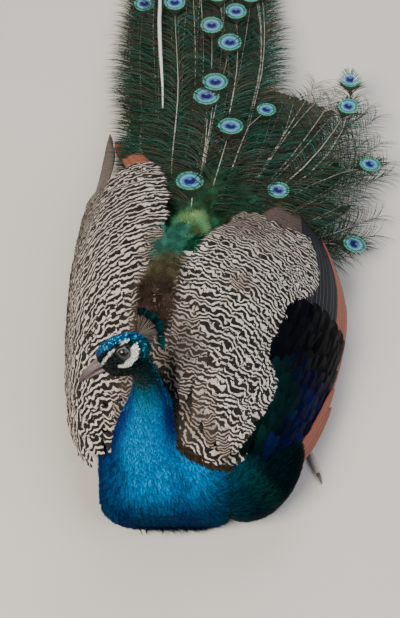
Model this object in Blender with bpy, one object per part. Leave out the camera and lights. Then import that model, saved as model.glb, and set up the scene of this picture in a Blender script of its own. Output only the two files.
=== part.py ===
"""A resting peacock, life size, as a still museum model: one named solid for each part of the bird.

Metres, +Z up. The bird faces -Y, its own left is +X, and it rests on the floor at z = 0 with its neck
drawn back, its head turned to its right and its train laid out behind it towards +Y.
Every solid gives the outer line of the plumage, and neighbours keep a gap of 0.3 mm.
"""
import math

import bmesh
import bpy
from mathutils import Matrix, Vector

GAP = 0.0003
FAN_GAP = 0.0025
BODY_SIDES = 20
NECK_SIDES = 16
HEAD_SIDES = 16
BILL_SIDES = 10
LEG_SIDES = 6
CLAW_SIDES = 5

# Body: y, middle x, half width, lowest z, highest z. A lowest z below the floor is a pressed flat.
BODY = (
    (-0.185, -0.008, 0.038, 0.008, 0.050),
    (-0.175, -0.008, 0.074, -0.010, 0.078),
    (-0.144, -0.003, 0.088, -0.014, 0.105),
    (-0.100, 0.006, 0.099, -0.012, 0.128),
    (-0.040, 0.018, 0.108, -0.012, 0.158),
    (0.030, 0.024, 0.108, -0.012, 0.172),
    (0.100, 0.020, 0.092, -0.008, 0.158),
    (0.160, 0.012, 0.062, 0.018, 0.134),
    (0.205, 0.010, 0.034, 0.050, 0.112),
)
BREAST_TO_TRUNK = -0.055
TRUNK_TO_RUMP = 0.105

# Neck: z, middle x, middle y, half width, half depth.
NECK = (
    (0.020, -0.012, -0.108, 0.070, 0.058),
    (0.060, -0.018, -0.108, 0.064, 0.056),
    (0.100, -0.0290, -0.105, 0.0450, 0.0450),
    (0.130, -0.0315, -0.100, 0.0315, 0.0340),
    (0.160, -0.0285, -0.093, 0.0245, 0.0270),
    (0.190, -0.0290, -0.086, 0.0185, 0.0210),
    (0.222, -0.0360, -0.079, 0.0145, 0.0160),
)
NECK_CUT = 0.142

# Head frame: its middle, the way the bill points, and the way the crown points.
HEAD_MIDDLE = Vector((-0.054, -0.077, 0.228))
HEAD_FORWARD = Vector((-0.861, -0.334, -0.385)).normalized()
HEAD_LEFT = Vector((0.099, -0.850, 0.517))
HEAD_LEFT = (HEAD_LEFT - HEAD_LEFT.dot(HEAD_FORWARD) * HEAD_FORWARD).normalized()
HEAD_UP = HEAD_FORWARD.cross(HEAD_LEFT)

# Head and bill: place along the head, half width, height above and depth below the head's middle line.
HEAD = (
    (-0.0310, 0.0045, 0.0030, 0.0060),
    (-0.0265, 0.0115, 0.0090, 0.0150),
    (-0.0180, 0.0160, 0.0160, 0.0235),
    (-0.0030, 0.0172, 0.0210, 0.0280),
    (0.0090, 0.0148, 0.0205, 0.0260),
    (0.0185, 0.0108, 0.0168, 0.0190),
    (0.0235, 0.0082, 0.0110, 0.0120),
)
BILL_UPPER = (
    (0.0229, 0.0072, 0.0070, 0.0022),
    (0.0300, 0.0062, 0.0058, 0.0018),
    (0.0380, 0.0048, 0.0040, 0.0026),
    (0.0460, 0.0032, 0.0010, 0.0046),
    (0.0520, 0.0012, -0.0032, 0.0068),
)
BILL_LOWER = (
    (0.0229, 0.0064, -0.0028, 0.0078),
    (0.0310, 0.0052, -0.0030, 0.0066),
    (0.0400, 0.0034, -0.0040, 0.0066),
    (0.0470, 0.0014, -0.0056, 0.0072),
)
EYE_RADIUS = 0.0066
EYE_ALONG = -0.0070
EYE_ABOVE = 0.0045
EYE_ASIDE = 0.0112

CREST_ROOT_BACK = 0.0260
CREST_ROOT_UP = 0.0080
CREST_LOW = math.radians(-60)
CREST_HIGH = math.radians(58)
CREST_SHORT = 0.0285
CREST_LONG = 0.0335
CREST_FEATHERS = 9
CREST_HALF_THICK = 0.0012

# Thighs: middle and half sizes of the bulge of flank feathers over each leg.
THIGHS = {
    "left": (Vector((0.087, -0.084, 0.044)), Vector((0.067, 0.096, 0.056))),
    "right": (Vector((-0.052, -0.062, 0.040)), Vector((0.050, 0.084, 0.050))),
}

# Legs: heel, ankle and the toes' places are in plan; every leg lies on the floor.
HEELS = {"left": (0.128, 0.074), "right": (-0.086, 0.104)}
ANKLES = {"left": (0.150, -0.056), "right": (-0.099, -0.020)}
TARSUS_RADII = (0.0085, 0.0058, 0.0060, 0.0075)
TOE_NAMES = ("inner", "middle", "outer", "hind")
TOE_LENGTHS = (0.042, 0.054, 0.046, 0.020)
TOE_TURNS = (-38.0, -11.0, 17.0, -120.0)
TOE_ROOT_RADIUS = 0.0052
TOE_TIP_RADIUS = 0.0036
CLAW_LENGTH = 0.014
CLAW_RADIUS = 0.0026

# Wings: y, inner x and z, outer x and z of the drape of feathers.
WINGS = {
    "left": (
        (-0.152, 0.060, 0.094, 0.104, 0.056),
        (-0.110, 0.016, 0.136, 0.148, 0.042),
        (-0.035, -0.010, 0.176, 0.186, 0.030),
        (0.045, -0.015, 0.187, 0.212, 0.026),
        (0.115, -0.006, 0.169, 0.221, 0.024),
        (0.175, 0.036, 0.138, 0.210, 0.026),
        (0.225, 0.088, 0.102, 0.190, 0.030),
        (0.254, 0.132, 0.068, 0.166, 0.036),
    ),
    "right": (
        (-0.128, -0.068, 0.084, -0.096, 0.050),
        (-0.085, -0.048, 0.130, -0.122, 0.042),
        (0.000, -0.028, 0.176, -0.138, 0.036),
        (0.100, -0.021, 0.172, -0.144, 0.030),
        (0.200, -0.020, 0.138, -0.142, 0.024),
        (0.300, -0.034, 0.092, -0.132, 0.018),
        (0.365, -0.064, 0.052, -0.124, 0.014),
        (0.428, -0.102, 0.022, -0.113, 0.010),
    ),
}
WING_ARC = math.radians(78)
WING_THICK_INNER = 0.024
WING_THICK_OUTER = 0.007
# Each part of a wing: its first and last row out of WING_ROWS, and its first and last column.
WING_ROWS = 16
WING_COLUMNS = 8
WING_PARTS = {
    "shoulder": (0, 2, 0, 4),
    "scapulars": (2, 12, 0, 4),
    "coverts": (0, 8, 4, 7),
    "alula": (0, 5, 7, 8),
    "outer_coverts": (5, 8, 7, 8),
    "secondaries": (8, 12, 4, 8),
    "primaries": (12, 16, 0, 8),
}

# Train: a bundle of long feathers straight behind the rump, and a fan of shorter ones to its left.
# Places across it run from 0 to 1 in the right sector, to 2 in the middle one and to 3 in the left one.
TRAIN_ROOT = (0.008, 0.130)
TRAIN_MIDDLE = ((0.0, 0.0), (0.15, 0.004), (0.40, 0.020), (1.40, 0.020))
TRAIN_HALF = ((0.0, 0.010), (0.10, 0.050), (0.20, 0.070), (0.32, 0.084), (0.40, 0.094), (0.50, 0.0995),
              (0.58, 0.0975), (1.40, 0.105))
TRAIN_FAN = math.radians(76)
TRAIN_LENGTHS = {
    "right": ((0.0, 0.98), (0.4, 1.24), (1.0, 1.38)),
    "middle": ((1.0, 1.38), (1.6, 1.26), (2.0, 1.02)),
    "left": ((2.0, 0.405), (2.12, 0.405), (2.3, 0.445), (2.45, 0.42), (2.6, 0.375), (2.8, 0.31), (3.0, 0.24)),
}
TRAIN_LOBES = 7
TRAIN_LOBE_DEPTH = 0.016
TRAIN_SECTORS = ("right", "middle", "left")
TRAIN_BANDS = ("scales", "short", "half", "long")
TRAIN_SHARES = {"right": (0.055, 0.20, 0.46, 0.74, 1.0), "middle": (0.055, 0.20, 0.46, 0.74, 1.0),
                "left": (0.16, 0.32, 0.55, 0.78, 1.0)}
TRAIN_RISE = ((0.0, 0.148), (0.10, 0.124), (0.25, 0.082), (0.45, 0.050), (0.75, 0.030), (1.10, 0.018),
              (1.40, 0.010))
TRAIN_EDGE_SHARE = 0.60
TRAIN_LEAST_THICK = 0.006
TRAIN_UNDER = ((0.0, 0.104), (0.12, 0.080), (0.30, 0.036), (0.45, 0.0), (1.50, 0.0))
TAIL_TURN = math.radians(12)
TAIL_LENGTH = 0.42
TAIL_THICK = 0.012
TAIL_FEATHERS = 9
TAIL_HALF_SPREAD = math.radians(20)


def clear_scene():
    for thing in list(bpy.data.objects):
        bpy.data.objects.remove(thing, do_unlink=True)


def linear(value):
    return value / 12.92 if value <= 0.04045 else ((value + 0.055) / 1.055) ** 2.4


def finish(name, colour, roughness, metallic=0.0):
    """A plain Principled material of an sRGB hex colour."""
    made = bpy.data.materials.new(name)
    made.use_nodes = True
    shader = made.node_tree.nodes["Principled BSDF"]
    channels = [linear(int(colour[i:i + 2], 16) / 255) for i in (0, 2, 4)]
    shader.inputs["Base Color"].default_value = (*channels, 1.0)
    shader.inputs["Roughness"].default_value = roughness
    shader.inputs["Metallic"].default_value = metallic
    made.diffuse_color = (*channels, 1.0)
    return made


def between(low, high, share):
    return low + (high - low) * share


def smooth_at(stations, place):
    """The values of a list of stations at a place between them, on a smooth curve through all."""
    last = len(stations) - 1
    index = 0
    while index < last - 1 and stations[index + 1][0] < place:
        index += 1
    before = stations[max(index - 1, 0)]
    low = stations[index]
    high = stations[index + 1]
    after = stations[min(index + 2, last)]
    span = high[0] - low[0]
    share = min(max((place - low[0]) / span, 0.0), 1.0)
    values = []
    for column in range(1, len(low)):
        slope_low = (high[column] - before[column]) / (high[0] - before[0])
        slope_high = (after[column] - low[column]) / (after[0] - low[0])
        cube = share ** 3
        square = share ** 2
        values.append(
            low[column] * (2 * cube - 3 * square + 1)
            + high[column] * (3 * square - 2 * cube)
            + slope_low * span * (cube - 2 * square + share)
            + slope_high * span * (cube - square)
        )
    return values


def add_shape(name, shape, material, smooth):
    """Turns a bmesh into a named object of flat triangles, so that a cutter fits it exactly."""
    bmesh.ops.triangulate(shape, faces=shape.faces[:])
    mesh = bpy.data.meshes.new(name)
    shape.to_mesh(mesh)
    shape.free()
    for polygon in mesh.polygons:
        polygon.use_smooth = smooth
    mesh.materials.clear()
    mesh.materials.append(material)
    made = bpy.data.objects.new(name, mesh)
    bpy.context.scene.collection.objects.link(made)
    return made


def solid(name, corners, faces, material, smooth=False):
    """A closed mesh object with its faces turned outwards."""
    shape = bmesh.new()
    made = [shape.verts.new(corner) for corner in corners]
    for face in faces:
        shape.faces.new([made[index] for index in face])
    bmesh.ops.recalc_face_normals(shape, faces=shape.faces[:])
    if shape.calc_volume(signed=True) < 0:
        bmesh.ops.reverse_faces(shape, faces=shape.faces[:])
    return add_shape(name, shape, material, smooth)


def loft(name, rings, material, smooth=True):
    """A closed tube through rings of points, with a fan of faces at each end."""
    sides = len(rings[0])
    corners = [point for ring in rings for point in ring]
    faces = []
    for row in range(len(rings) - 1):
        for side in range(sides):
            follow = (side + 1) % sides
            low = row * sides
            high = low + sides
            faces.append((low + side, low + follow, high + follow, high + side))
    for ring, start in ((rings[0], 0), (rings[-1], (len(rings) - 1) * sides)):
        corners.append(sum(ring, Vector()) / sides)
        tip = len(corners) - 1
        for side in range(sides):
            faces.append((start + side, start + (side + 1) % sides, tip))
    return solid(name, corners, faces, material, smooth)


def plate(name, top, bottom, material):
    """A closed plate between two grids of points that have the same rows and columns."""
    rows = len(top)
    columns = len(top[0])
    corners = [point for grid in (top, bottom) for row in grid for point in row]
    faces = []
    for layer in (0, rows * columns):
        for row in range(rows - 1):
            for column in range(columns - 1):
                first = layer + row * columns + column
                faces.append((first, first + 1, first + columns + 1, first + columns))
    rim = [column for column in range(columns)]
    rim += [row * columns + columns - 1 for row in range(1, rows)]
    rim += [(rows - 1) * columns + column for column in range(columns - 2, -1, -1)]
    rim += [row * columns for row in range(rows - 2, 0, -1)]
    under = rows * columns
    for index, here in enumerate(rim):
        follow = rim[(index + 1) % len(rim)]
        faces.append((here, follow, follow + under, here + under))
    return solid(name, corners, faces, material, True)


def swollen(source, clearance):
    """A hidden copy of a solid, moved out by the clearance, for cutting its neighbours."""
    shape = bmesh.new()
    shape.from_mesh(source.data)
    moves = [vertex.normal * clearance * min(vertex.calc_shell_factor(), 3.0) for vertex in shape.verts]
    for vertex, move in zip(shape.verts, moves):
        vertex.co += move
    mesh = bpy.data.meshes.new(source.name + "_cutter")
    shape.to_mesh(mesh)
    shape.free()
    cutter = bpy.data.objects.new(source.name + "_cutter", mesh)
    bpy.context.scene.collection.objects.link(cutter)
    cutter.hide_render = True
    cutter.display_type = "WIRE"
    return cutter


def largest_piece(mesh):
    """Keeps only the biggest connected body of a mesh."""
    shape = bmesh.new()
    shape.from_mesh(mesh)
    bmesh.ops.remove_doubles(shape, verts=shape.verts[:], dist=0.000005)
    left = set(shape.verts)
    islands = []
    while left:
        grow = [left.pop()]
        island = []
        while grow:
            vertex = grow.pop()
            island.append(vertex)
            for edge in vertex.link_edges:
                other = edge.other_vert(vertex)
                if other in left:
                    left.remove(other)
                    grow.append(other)
        islands.append(island)
    islands.sort(key=len)
    for island in islands[:-1]:
        bmesh.ops.delete(shape, geom=island, context="VERTS")
    bmesh.ops.triangulate(shape, faces=shape.faces[:])
    shape.to_mesh(mesh)
    shape.free()


def carve(target, neighbours, clearance=GAP * 1.5):
    """Cuts a solid back from each of its neighbours, with a small gap, and keeps one body."""
    for neighbour in neighbours:
        cutter = swollen(neighbour, clearance)
        cut = target.modifiers.new("Cut", "BOOLEAN")
        cut.operation = "DIFFERENCE"
        cut.solver = "EXACT"
        cut.object = cutter
        graph = bpy.context.evaluated_depsgraph_get()
        mesh = bpy.data.meshes.new_from_object(target.evaluated_get(graph))
        target.modifiers.clear()
        target.data = mesh
        largest_piece(mesh)
        bpy.data.objects.remove(cutter, do_unlink=True)
    target.data.name = target.name
    return target


def body_ring(y):
    middle, half_width, low, high = smooth_at(BODY, y)
    centre = (low + high) / 2
    half_height = (high - low) / 2
    ring = []
    for side in range(BODY_SIDES):
        turn = 2 * math.pi * (side + 0.5) / BODY_SIDES
        z = centre + half_height * math.sin(turn)
        ring.append(Vector((middle + half_width * math.cos(turn), y, max(z, 0.0))))
    return ring


def body_part(name, start, end, rows, material):
    rings = [body_ring(between(start, end, row / rows)) for row in range(rows + 1)]
    return loft(name, rings, material)


def neck_ring(z):
    middle_x, middle_y, half_width, half_depth = smooth_at(NECK, z)
    ring = []
    for side in range(NECK_SIDES):
        turn = 2 * math.pi * side / NECK_SIDES
        across = half_width * math.cos(turn)
        ring.append(Vector((middle_x + across, middle_y + half_depth * math.sin(turn), z)))
    return ring


def neck_part(name, start, end, rows, material):
    rings = [neck_ring(between(start, end, row / rows)) for row in range(rows + 1)]
    return loft(name, rings, material)


def on_head(along, above, aside):
    return HEAD_MIDDLE + HEAD_FORWARD * along + HEAD_UP * above + HEAD_LEFT * aside


def head_ring(along, half_width, above, below, sides):
    centre = (above - below) / 2
    half_height = (above + below) / 2
    ring = []
    for side in range(sides):
        turn = 2 * math.pi * side / sides
        height = centre + half_height * math.sin(turn)
        ring.append(on_head(along, height, half_width * math.cos(turn)))
    return ring


def head_loft(name, stations, rows, sides, material):
    start = stations[0][0]
    end = stations[-1][0]
    places = [between(start, end, row / rows) for row in range(rows + 1)]
    rings = [head_ring(place, *smooth_at(stations, place), sides) for place in places]
    return loft(name, rings, material)


def eye(name, side, material):
    """A ball that looks out sideways, with its poles along the head's left."""
    shape = bmesh.new()
    place = Matrix.Translation(on_head(EYE_ALONG, EYE_ABOVE, side * EYE_ASIDE))
    turned = place @ HEAD_LEFT.to_track_quat("Z", "Y").to_matrix().to_4x4()
    bmesh.ops.create_uvsphere(shape, u_segments=12, v_segments=6, radius=EYE_RADIUS, matrix=turned)
    return add_shape(name, shape, material, True)


def crest(material):
    """A flat fan of feather tips that stands on the back of the crown."""
    root = on_head(-CREST_ROOT_BACK, CREST_ROOT_UP, 0.0)
    steps = CREST_FEATHERS * 4
    inner_share = 0.10
    rows = (inner_share, 0.62, 1.0)
    grids = []
    for face in (1, -1):
        grid = []
        for reach in rows:
            row = []
            for step in range(steps + 1):
                share = step / steps
                turn = between(CREST_LOW, CREST_HIGH, share)
                length = between(CREST_SHORT, CREST_LONG, (2 * share - 1) ** 2)
                lobe = 1.0 - 0.16 * (1 - abs(math.sin(math.pi * CREST_FEATHERS * share))) * (reach == 1.0)
                far = length * reach * lobe
                offset = face * CREST_HALF_THICK
                along = -HEAD_FORWARD * math.cos(turn) * far
                row.append(root + along + HEAD_UP * math.sin(turn) * far + HEAD_LEFT * offset)
            grid.append(row)
        grids.append(grid)
    return plate("crest", grids[0], grids[1], material)


def ellipsoid(name, middle, half_sizes, material):
    """A rounded bulge, pressed flat where it meets the floor."""
    shape = bmesh.new()
    bmesh.ops.create_uvsphere(shape, u_segments=16, v_segments=8, radius=1.0)
    for vertex in shape.verts:
        place = Vector(a * b for a, b in zip(vertex.co, half_sizes)) + middle
        place.z = max(place.z, 0.0)
        vertex.co = place
    return add_shape(name, shape, material, True)


def limb(name, points, radii, sides, material):
    """A round limb along floor-level points; each ring is pressed flat where it meets the floor."""
    rings = []
    for index, (point, radius) in enumerate(zip(points, radii)):
        before = points[max(index - 1, 0)]
        after = points[min(index + 1, len(points) - 1)]
        along = (after - before).normalized()
        across = Vector((along.y, -along.x, 0.0)).normalized()
        above = across.cross(along)
        ring = []
        for side in range(sides):
            turn = 2 * math.pi * (side + 0.5) / sides
            place = point + across * math.cos(turn) * radius + above * math.sin(turn) * radius
            place.z = max(place.z, 0.0)
            ring.append(place)
        rings.append(ring)
    return loft(name, rings, material)


def leg(side, skin, horn):
    """The bare part of one leg: the tarsus, four toes and their claws, laid on the floor."""
    outward = 1 if side == "left" else -1
    heel = Vector((*HEELS[side], TARSUS_RADII[0] * 0.9))
    ankle = Vector((*ANKLES[side], TARSUS_RADII[3] * 0.9))
    points = [heel.lerp(ankle, share) for share in (0.0, 0.2, 0.85, 1.0)]
    made = [limb("tarsus_" + side, points, TARSUS_RADII, LEG_SIDES, skin)]
    for name, length, turn in zip(TOE_NAMES, TOE_LENGTHS, TOE_TURNS):
        heading = math.radians(turn) * outward
        along = Vector((math.sin(heading), -math.cos(heading), 0.0))
        shift = TARSUS_RADII[3] + TOE_ROOT_RADIUS * 0.6
        start = ankle + along * shift
        start.z = TOE_ROOT_RADIUS * 0.92
        end = start + along * length
        end.z = TOE_TIP_RADIUS * 0.92
        joints = [start.lerp(end, share) for share in (0.0, 0.33, 0.66, 1.0)]
        girth = [between(TOE_ROOT_RADIUS, TOE_TIP_RADIUS, share) for share in (0.0, 0.33, 0.66, 1.0)]
        toe = limb(f"toe_{name}_{side}", joints, girth, LEG_SIDES, skin)
        carve(toe, made)
        made.append(toe)
        tip = end + along * (GAP + CLAW_LENGTH)
        tip.z = CLAW_RADIUS * 0.5
        nail = [end + along * GAP, end.lerp(tip, 0.5) + Vector((0.0, 0.0, 0.0008)), tip]
        claw_radii = (CLAW_RADIUS, CLAW_RADIUS * 0.78, CLAW_RADIUS * 0.28)
        made.append(limb(f"claw_{name}_{side}", nail, claw_radii, CLAW_SIDES, horn))
    return made


def wing_point(side, along, across):
    """A point of the wing's outer face, from shares along and across the wing."""
    stations = WINGS[side]
    y = between(stations[0][0], stations[-1][0], along)
    inner_x, inner_z, outer_x, outer_z = smooth_at(stations, y)
    turn = across * WING_ARC
    sideways = math.sin(turn) / math.sin(WING_ARC)
    drop = (1 - math.cos(turn)) / (1 - math.cos(WING_ARC))
    return Vector((between(inner_x, outer_x, sideways), y, between(inner_z, outer_z, drop)))


def wing_normal(side, along, across):
    step = 0.01
    lengthwise = wing_point(side, along + step, across) - wing_point(side, along - step, across)
    crosswise = wing_point(side, along, across + step) - wing_point(side, along, across - step)
    normal = lengthwise.cross(crosswise).normalized()
    return normal if normal.z > 0 else -normal


def wing_part(side, part, material):
    """One group of wing feathers, as a plate between the wing's outer face and its underside."""
    first_row, last_row, first_column, last_column = WING_PARTS[part]
    length = WINGS[side][-1][0] - WINGS[side][0][0]
    slit_along = GAP / length
    slit_across = 0.008
    top = []
    bottom = []
    for row in range(first_row, last_row + 1):
        along = row / WING_ROWS + slit_along * ((row == first_row) - (row == last_row))
        top_row = []
        bottom_row = []
        for column in range(first_column, last_column + 1):
            across = column / WING_COLUMNS - slit_across * (column == last_column)
            face = wing_point(side, along, across)
            thick = between(WING_THICK_INNER, WING_THICK_OUTER, max(across, abs(2 * along - 1) ** 3))
            top_row.append(face)
            bottom_row.append(face - wing_normal(side, along, across) * thick)
        top.append(top_row)
        bottom.append(bottom_row)
    return plate(f"wing_{side}_{part}", top, bottom, material)


def train_length(sector, across):
    return smooth_at(TRAIN_LENGTHS[sector], across)[0]


def train_point(across, far, z):
    """A point of the train from its place across and its distance from the rump."""
    aside = smooth_at(TRAIN_MIDDLE, far)[0] + smooth_at(TRAIN_HALF, far)[0] * (min(across, 2.0) - 1)
    ahead = far
    if across > 2:
        edge = math.atan2(aside, ahead)
        heading = between(edge, TRAIN_FAN, across - 2)
        reach = between(math.hypot(aside, ahead), far, across - 2)
        aside, ahead = reach * math.sin(heading), reach * math.cos(heading)
    return Vector((TRAIN_ROOT[0] + aside, TRAIN_ROOT[1] + ahead, z))


def train_heights(sector, across, far):
    """The heights of the underside and the upper side: all feathers come down to the floor near their tips."""
    lowered = far * max(1.0, 0.45 / train_length(sector, across))
    edge = (across - 1.5) / 1.5
    under = max(smooth_at(TRAIN_UNDER, lowered)[0], 0.0)
    high = smooth_at(TRAIN_RISE, lowered)[0] * between(1.0, TRAIN_EDGE_SHARE, edge ** 2)
    return under, max(high, under + TRAIN_LEAST_THICK)


def train_part(band, sector, material):
    """One field of the train, as a plate that lies on the floor, with the feather tips as lobes."""
    number = TRAIN_BANDS.index(band)
    share_low, share_high = TRAIN_SHARES[sector][number:number + 2]
    per_lobe = 3 if band == "long" else 1
    columns = TRAIN_LOBES * per_lobe
    rows = 2

    def place(column, row, lobe_depth):
        """The places on the upper side and the underside for a column and row."""
        across = TRAIN_SECTORS.index(sector) + column / columns
        length = train_length(sector, across)
        far = between(share_low * length + GAP, share_high * length - GAP, row / rows) - lobe_depth
        width = (train_point(across + 0.01, far, 0) - train_point(across - 0.01, far, 0)).length / 0.02
        if column == 0:
            across += (FAN_GAP if sector == "left" else GAP) / width
        elif column == columns:
            across -= GAP / width
        under, high = train_heights(sector, across, far)
        return train_point(across, far, high), train_point(across, far, under)

    top = []
    bottom = []
    for row in range(rows + 1):
        pairs = []
        for column in range(columns + 1):
            if row == rows and per_lobe > 1:
                notch = 1 - abs(math.sin(math.pi * column / per_lobe))
                pairs.append(place(column, row, TRAIN_LOBE_DEPTH * notch))
                continue
            # Between lobes the points stay on the straight edge of the plate before.
            start = min(column - column % per_lobe, columns - per_lobe)
            share = (column - start) / per_lobe
            ends = zip(place(start, row, 0.0), place(start + per_lobe, row, 0.0))
            pairs.append([low.lerp(high, share) for low, high in ends])
        top.append([pair[0] for pair in pairs])
        bottom.append([pair[1] for pair in pairs])
    return plate(f"train_{band}_{sector}", top, bottom, material)


def tail(material):
    """The stiff true tail, as a plate of rounded feather tips under the train."""
    per_feather = 3
    columns = TAIL_FEATHERS * per_feather
    rows = 3
    start = 0.085
    top = []
    bottom = []
    for row in range(rows + 1):
        top_row = []
        bottom_row = []
        for column in range(columns + 1):
            turn = between(-TAIL_HALF_SPREAD, TAIL_HALF_SPREAD, column / columns)
            far = between(start, TAIL_LENGTH, row / rows)
            if row == rows:
                far -= 0.010 * (1 - abs(math.sin(math.pi * column / per_feather)))
            high = max(smooth_at(TRAIN_UNDER, far)[0] - 0.0012, 0.0052)
            x = TRAIN_ROOT[0] + math.sin(TAIL_TURN + turn) * far
            y = TRAIN_ROOT[1] + math.cos(TAIL_TURN + turn) * far
            top_row.append(Vector((x, y, high)))
            bottom_row.append(Vector((x, y, max(high - TAIL_THICK, 0.0))))
        top.append(top_row)
        bottom.append(bottom_row)
    return plate("tail", top, bottom, material)


def build_body(finishes):
    breast = body_part("breast", BODY[0][0], BREAST_TO_TRUNK - GAP, 7, finishes["blue"])
    trunk = body_part("trunk", BREAST_TO_TRUNK, TRUNK_TO_RUMP - GAP, 6, finishes["green"])
    rump = body_part("rump", TRUNK_TO_RUMP, BODY[-1][0], 4, finishes["green"])
    return [breast, trunk, rump]


def build_head(finishes):
    eyes = [eye("eye_left", 1, finishes["eye"]), eye("eye_right", -1, finishes["eye"])]
    head = head_loft("head", HEAD, 9, HEAD_SIDES, finishes["blue"])
    carve(head, eyes)
    upper = head_loft("bill_upper", BILL_UPPER, 5, BILL_SIDES, finishes["horn"])
    lower = head_loft("bill_lower", BILL_LOWER, 5, BILL_SIDES, finishes["horn"])
    carve(lower, [upper])
    carve(upper, [head])
    carve(lower, [head])
    fan = carve(crest(finishes["teal"]), [head])
    return head, fan


def main():
    clear_scene()
    finishes = {
        "blue": finish("neck blue", "0A6FB0", 0.45, 0.3),
        "teal": finish("neck teal", "0A7F78", 0.45, 0.3),
        "green": finish("body green", "0C4030", 0.55, 0.2),
        "bronze": finish("train bronze", "4F6A4A", 0.55, 0.3),
        "barred": finish("barred buff", "8F8078", 0.80),
        "dark": finish("wing navy", "141C3A", 0.50, 0.2),
        "rufous": finish("flight rufous", "B8694E", 0.75),
        "horn": finish("bill horn", "9A8C96", 0.45),
        "skin": finish("leg skin", "9A8A88", 0.60),
        "eye": finish("eye brown", "2A2220", 0.10),
    }
    body = build_body(finishes)
    head, fan = build_head(finishes)
    neck_lower = neck_part("neck_lower", NECK[0][0], NECK_CUT - GAP, 5, finishes["blue"])
    carve(neck_lower, body)
    neck_upper = neck_part("neck_upper", NECK_CUT, NECK[-1][0], 4, finishes["teal"])
    carve(neck_upper, [head, *body])
    carve(fan, [neck_upper])
    legs = []
    thighs = []
    for side, (middle, half_sizes) in THIGHS.items():
        legs += leg(side, finishes["skin"], finishes["horn"])
        thigh = ellipsoid("thigh_" + side, middle, half_sizes, finishes["green"])
        carve(thigh, [*body, neck_lower, *[piece for piece in legs if piece.name.endswith(side)]])
        thighs.append(thigh)
    wing_colours = {
        "left": ("barred", "barred", "dark", "dark", "dark", "dark", "rufous"),
        "right": ("barred", "barred", "barred", "barred", "barred", "barred", "rufous"),
    }
    wings = []
    for side in WINGS:
        for part, colour in zip(WING_PARTS, wing_colours[side]):
            piece = wing_part(side, part, finishes[colour])
            carve(piece, [*body, neck_lower, *thighs, *legs])
            wings.append(piece)
    true_tail = tail(finishes["bronze"])
    carve(true_tail, [*body, *wings])
    for band in TRAIN_BANDS:
        for sector in TRAIN_SECTORS:
            field = train_part(band, sector, finishes["bronze"])
            if band != "long" or sector == "left":
                carve(field, [*body, *wings, *legs, true_tail])


main()
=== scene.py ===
"""The look of a resting peacock, life size: skin, plumage, wings, train, bill, eyes and feet.

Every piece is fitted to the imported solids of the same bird, in the same frame: metres, +Z up,
the breast towards -Y and the train towards +Y.
"""
from __future__ import annotations

import logging
import math
from collections.abc import Callable
from dataclasses import dataclass, field
from enum import Enum

import bmesh
import bpy
import numpy as np
from bpy.types import Material, NodeSocket, NodeTree, Object
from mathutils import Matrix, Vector

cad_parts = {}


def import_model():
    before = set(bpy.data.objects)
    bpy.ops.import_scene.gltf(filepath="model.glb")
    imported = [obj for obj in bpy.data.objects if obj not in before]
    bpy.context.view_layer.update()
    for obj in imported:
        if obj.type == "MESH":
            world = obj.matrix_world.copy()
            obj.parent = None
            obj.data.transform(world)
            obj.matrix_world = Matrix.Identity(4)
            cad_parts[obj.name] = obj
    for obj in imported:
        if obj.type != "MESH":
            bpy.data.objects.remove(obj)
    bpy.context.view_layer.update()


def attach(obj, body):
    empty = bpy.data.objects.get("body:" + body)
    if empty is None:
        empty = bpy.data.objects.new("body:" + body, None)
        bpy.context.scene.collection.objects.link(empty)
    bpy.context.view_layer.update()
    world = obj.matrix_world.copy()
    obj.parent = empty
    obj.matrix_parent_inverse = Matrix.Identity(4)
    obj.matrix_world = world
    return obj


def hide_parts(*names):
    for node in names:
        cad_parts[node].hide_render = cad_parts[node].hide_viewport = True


LOG = logging.getLogger("peacock")
Array = np.ndarray


# ---------------------------------------------------------------- colours and nodes


def linear(code: str) -> Array:
    """One sRGB colour, as six hex digits, turned to linear red, green and blue."""
    values = np.array([int(code[i:i + 2], 16) for i in (0, 2, 4)]) / 255.0
    return np.where(values <= 0.04045, values / 12.92, ((values + 0.055) / 1.055) ** 2.4)


def rgba(code: str) -> tuple[float, float, float, float]:
    """The colour of a hex code for a node socket."""
    return (*linear(code), 1.0)


def mix(first: Array | str, second: Array | str, share: Array) -> Array:
    """Blends two colours by a share for each row.

    Args:
        first: The colour at share 0, as a hex code or as linear colours.
        second: The colour at share 1.
        share: One number for each row.

    Returns:
        One colour for each row.
    """
    part = np.clip(share, 0.0, 1.0)[:, None]
    low, high = (linear(colour) if isinstance(colour, str) else colour for colour in (first, second))
    return low * (1 - part) + high * part


def ramp(value: Array, low: float, high: float) -> Array:
    """A soft step from 0 at low to 1 at high."""
    share = np.clip((value - low) / (high - low), 0.0, 1.0)
    return share * share * (3 - 2 * share)


def tile(code: str, count: int) -> Array:
    """One colour in as many rows as are asked for."""
    return np.tile(linear(code), (count, 1))


def add_node(
    tree: NodeTree, kind: str, settings: dict | None = None, inputs: dict | None = None
) -> bpy.types.Node:
    """Adds one node with its settings and its inputs' values or links.

    Args:
        tree: The tree that gets the node.
        kind: The node's type name.
        settings: Values of the node's own properties.
        inputs: Values or output sockets, by input name or number.

    Returns:
        The new node.
    """
    node = tree.nodes.new(kind)
    for name, value in (settings or {}).items():
        setattr(node, name, value)
    for name, value in (inputs or {}).items():
        socket = node.inputs[name]
        if isinstance(value, NodeSocket):
            tree.links.new(value, socket)
        else:
            socket.default_value = value
    return node


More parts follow.
